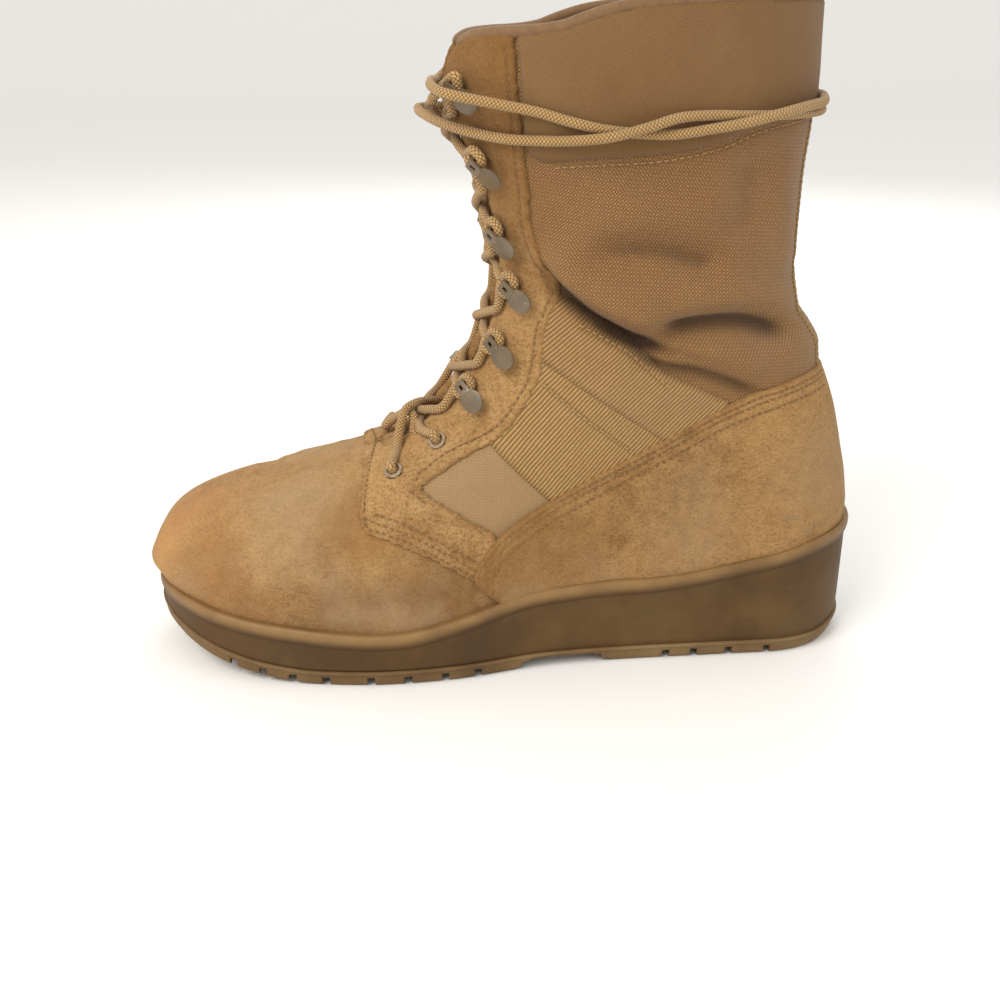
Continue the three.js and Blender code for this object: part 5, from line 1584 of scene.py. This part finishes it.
# %% Cord finishes
def braided(name, deep, light, gloss, strands=6):
    """A round braid: strands wind both ways round the cord and pass over and under."""
    material, n, shader, place = new_material(name, gloss, sheen=0.2, specular=0.3)
    angle = n.math("DIVIDE", n.math("ARCTAN2", n.attribute("round_sin"), n.attribute("round_cos")), 2 * math.pi)
    lengthwise = n.math("DIVIDE", n.attribute("along"), 8.5)
    one = n.math("MULTIPLY", n.math("ADD", angle, lengthwise), float(strands))
    two = n.math("MULTIPLY", n.math("SUBTRACT", angle, lengthwise), float(strands))
    bulge_one = n.math("ABSOLUTE", n.math("SINE", n.math("MULTIPLY", one, math.pi)))
    bulge_two = n.math("ABSOLUTE", n.math("SINE", n.math("MULTIPLY", two, math.pi)))
    odd = n.math("ABSOLUTE", n.math("MODULO", n.math("ADD", n.math("FLOOR", one), n.math("FLOOR", two)), 2.0))
    height = n.math("ADD", n.math("MULTIPLY", n.math("MULTIPLY", bulge_one, n.math("POWER", bulge_two, 0.5)), odd),
                    n.math("MULTIPLY", n.math("MULTIPLY", bulge_two, n.math("POWER", bulge_one, 0.5)),
                           n.math("SUBTRACT", 1.0, odd)))
    colour = n.mix(n.ease(height, 0.05, 0.8), ink(deep), ink(light))
    colour = n.mix(n.math("MULTIPLY", n.ease(n.noise(place, 60, 3), 0.4, 0.7), 0.3), colour, ink("8b6c43"))
    n.feed(shader["Base Color"], colour)
    n.feed(shader["Normal"], n.bump(height, 1.0, 0.0005))
    return material


lace_braid = braided("braided lace", "7a5a32", "c39c62", 0.8)


# %% [markdown]
# ### Thread, rubber, metal and binding
# These are small or plain in form, so their finish is mostly tone: mottled rubber that is rubbed and has a painted
# highlight along its lip and painted shade under it, paint with chips, and thread and tape with a fine grain.

# %% Thread, rubber and painted metal
threads = {}
for tint, low, high in (("dark", "674a27", "82603a"), ("light", "8a6a3e", "b59362")):
    threads[tint], n, shader, place = new_material(f"{tint} thread", 0.8)
    n.feed(shader["Base Color"], n.mix(n.noise(place, 300, 2), ink(low), ink(high)))
    n.feed(shader["Normal"], n.bump(n.noise(place, 1500, 2), 0.5, 0.0002))

rubber, n, shader, place = new_material("moulded rubber", 0.62, specular=0.28)
worn = use(n, WEAR, Vector=place, Amount=0.9)
mottle = n.noise(place, 34, 5, 0.6)
colour = n.mix(n.ease(mottle, 0.3, 0.7), ink("452f13"), ink("52391a"))
pits = n.noise(place, 700, 3, 0.6)
colour = n.mix(n.math("MULTIPLY", worn["Dust"], 0.28), colour, ink("7d6238"))
colour = n.mix(n.math("MULTIPLY", worn["Scuff"], 0.6), colour, ink("3d2a11"))
below_lip = n.attribute("lip")
# The lip is lighter: rubbed wear, and a painted highlight on its rounded top.
rubbed_and_lit = n.ease(n.noise(place, 55, 4), 0.25, 0.7, 0.5, 1.0)
on_lip = n.math("MULTIPLY", n.ease(below_lip, -6.4, -1.6), n.ease(below_lip, 0.9, 0.0))
colour = n.mix(n.math("MULTIPLY", n.math("MULTIPLY", on_lip, rubbed_and_lit), 0.62), colour, ink("9d7a4c"))
# Painted shade: a darker band under the lip's overhang.
under_lip = n.math("MULTIPLY", n.ease(below_lip, -7.5, -6.8), n.ease(below_lip, -6.0, -6.6))
colour = n.mix(n.math("MULTIPLY", under_lip, 0.45), colour, ink("3c2c16"))
n.feed(shader["Base Color"], colour)
n.feed(shader["Roughness"], n.math("SUBTRACT", n.ease(mottle, 0.2, 0.8, 0.52, 0.72), n.math("MULTIPLY", on_lip, 0.14)))
n.feed(shader["Normal"], n.bump(mottle, 0.35, 0.0012, n.bump(pits, 0.35, 0.0002)))

tread_rubber, n, shader, place = new_material("tread rubber", 0.68, specular=0.3)
worn = use(n, WEAR, Vector=place, Amount=1.2)
mottle = n.noise(place, 40, 5, 0.6)
colour = n.mix(n.ease(mottle, 0.3, 0.7), ink("5d4526"), ink("735836"))
colour = n.mix(n.math("MULTIPLY", worn["Dust"], 0.5), colour, ink("8c7650"))
n.feed(shader["Base Color"], colour)
n.feed(shader["Roughness"], n.ease(mottle, 0.2, 0.8, 0.6, 0.8))
n.feed(shader["Normal"], n.bump(mottle, 0.5, 0.001))

painted, n, shader, place = new_material("painted metal", 0.34, coat=0.25)
chips = n.ease(n.noise(place, 350, 3, 0.6), 0.66, 0.72)
colour = n.mix(n.ease(n.noise(place, 120, 2), 0.3, 0.7), ink("574731"), ink("69573e"))
n.feed(shader["Base Color"], n.mix(n.math("MULTIPLY", chips, 0.35), colour, ink("9a8a72")))
n.feed(shader["Roughness"], n.ease(n.noise(place, 250, 3), 0.3, 0.7, 0.28, 0.42))

ring_paint, n, shader, place = new_material("eyelet paint", 0.42, coat=0.15)
n.feed(shader["Base Color"], n.mix(n.ease(n.noise(place, 260, 3), 0.3, 0.7), ink("7c674b"), ink("978062")))
n.feed(shader["Roughness"], n.ease(n.noise(place, 300, 2), 0.3, 0.7, 0.36, 0.5))

n = Nodes(binding_cloth.node_tree)
bound = binding_cloth.node_tree.nodes["Principled BSDF"].inputs
place = n.add("TexCoord").outputs["Object"]
n.feed(bound["Base Color"], n.mix(n.noise(place, 500, 3), ink("5e4329"), ink("84633e")))
n.feed(bound["Normal"], n.bump(n.noise(place, 900, 2), 0.5, 0.0003))

tip_plastic, n, shader, place = new_material("lace tip plastic", 0.35, coat=0.2)
n.feed(shader["Base Color"], n.mix(n.noise(place, 300, 2), ink("5d4a33"), ink("7a6447")))
n.feed(shader["Roughness"], n.ease(n.noise(place, 200, 3), 0.3, 0.7, 0.3, 0.5))
n.feed(shader["Normal"], n.bump(n.noise(place, 600, 2), 0.3, 0.0002))


# %% Give each piece its finish
def dress(pieces, material):
    for piece in pieces:
        piece.data.materials.clear()
        piece.data.materials.append(material)


def named(*names):
    return [bpy.data.objects[name] for name in names]


dress([vamp], vamp_suede)
dress(named("eyestay_outer_suede", "eyestay_inner_suede"), rough_suede)
dress([counter], counter_suede)
dress([shaft], shaft_nylon)
dress([collar], collar_nylon)
dress([binding], binding_cloth)
dress(named("vent_panel_outer", "vent_panel_inner"), vent_nylon)
dress(named("webbing_low_outer", "webbing_low_inner"), web_nylon)
dress(named("webbing_high_outer", "webbing_high_inner"), web_nylon_high)
dress([tongue], tongue_nylon)
dress([lining], lining_knit)
dress([insole], binding_cloth)
dress([backstay], web_nylon)
dress([stitches["dark"]], threads["dark"])
dress([stitches["light"]], threads["light"])
dress(laces, lace_braid)
dress(tips, tip_plastic)
dress([sole_wall], rubber)
dress([tread], tread_rubber)
dress([piece for piece in metal_pieces if "hook" in piece.name], painted)
dress([piece for piece in metal_pieces if "hook" not in piece.name], ring_paint)

# %% [markdown]
# ## Floor and light
# A pale floor and three soft lights, as in a small studio: a large one over the toe, a weaker one from
# the heel side and one from behind, with a bright room around them.

# %% Studio
deselect()
bpy.ops.mesh.primitive_plane_add(size=14, location=(0, -2, -0.0002))
bpy.ops.object.mode_set(mode="EDIT")
bpy.ops.mesh.select_all(action="DESELECT")
bpy.ops.object.mode_set(mode="OBJECT")
for edge in bpy.context.object.data.edges:
    edge.select = all(bpy.context.object.data.vertices[k].co.y > 6.9 for k in edge.vertices)
bpy.ops.object.mode_set(mode="EDIT")
bpy.ops.mesh.select_mode(type="EDGE")
bpy.ops.mesh.extrude_region_move(TRANSFORM_OT_translate={"value": (0, 0, 5)})
bpy.ops.object.mode_set(mode="OBJECT")
bend = bpy.context.object.modifiers.new("bend", "BEVEL")
bend.width, bend.segments = 1.8, 14
bpy.ops.object.modifier_apply(modifier="bend")
bpy.ops.object.shade_smooth()
floor = bpy.context.object
floor.name = "floor"
floor_paint = bpy.data.materials.new("floor_paint")
floor_paint.use_nodes = True
floor_paint.node_tree.nodes["Principled BSDF"].inputs["Base Color"].default_value = (0.86, 0.85, 0.83, 1)
floor_paint.node_tree.nodes["Principled BSDF"].inputs["Roughness"].default_value = 0.8
floor.data.materials.append(floor_paint)


def soft_light(name, size, power, place, aim, colour=(1, 1, 1)):
    light = bpy.data.objects.new(name, bpy.data.lights.new(name, "AREA"))
    light.data.size, light.data.energy, light.data.color = size, power, colour
    light.location = place
    light.rotation_euler = (Vector(aim) - Vector(place)).to_track_quat("-Z", "Y").to_euler()
    bpy.context.scene.collection.objects.link(light)


soft_light("key_light", 0.7, 12, (-0.7, -0.7, 1.0), (-0.03, 0, 0.08), (1, 0.97, 0.93))
soft_light("fill_light", 1.2, 2, (1.1, -0.9, 0.6), (0, 0, 0.1), (1, 0.98, 0.96))
soft_light("rim_light", 0.8, 6, (0.3, 1.1, 0.9), (0, 0, 0.12))
bpy.context.scene.view_settings.view_transform = "Standard"
room = bpy.data.worlds.new("room")
room.use_nodes = True
room.node_tree.nodes["Background"].inputs["Color"].default_value = (1, 0.99, 0.97, 1)
room.node_tree.nodes["Background"].inputs["Strength"].default_value = 0.95
bpy.context.scene.world = room

# %% [markdown]
# ## One body
# The boot has no joints, so every new piece follows the one body.

# %% Every piece rides on the one body
for piece in bpy.context.scene.collection.all_objects:
    if piece.type == "MESH" and piece.name not in frame["nodes"] and piece.name != "floor":
        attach(piece, "root")
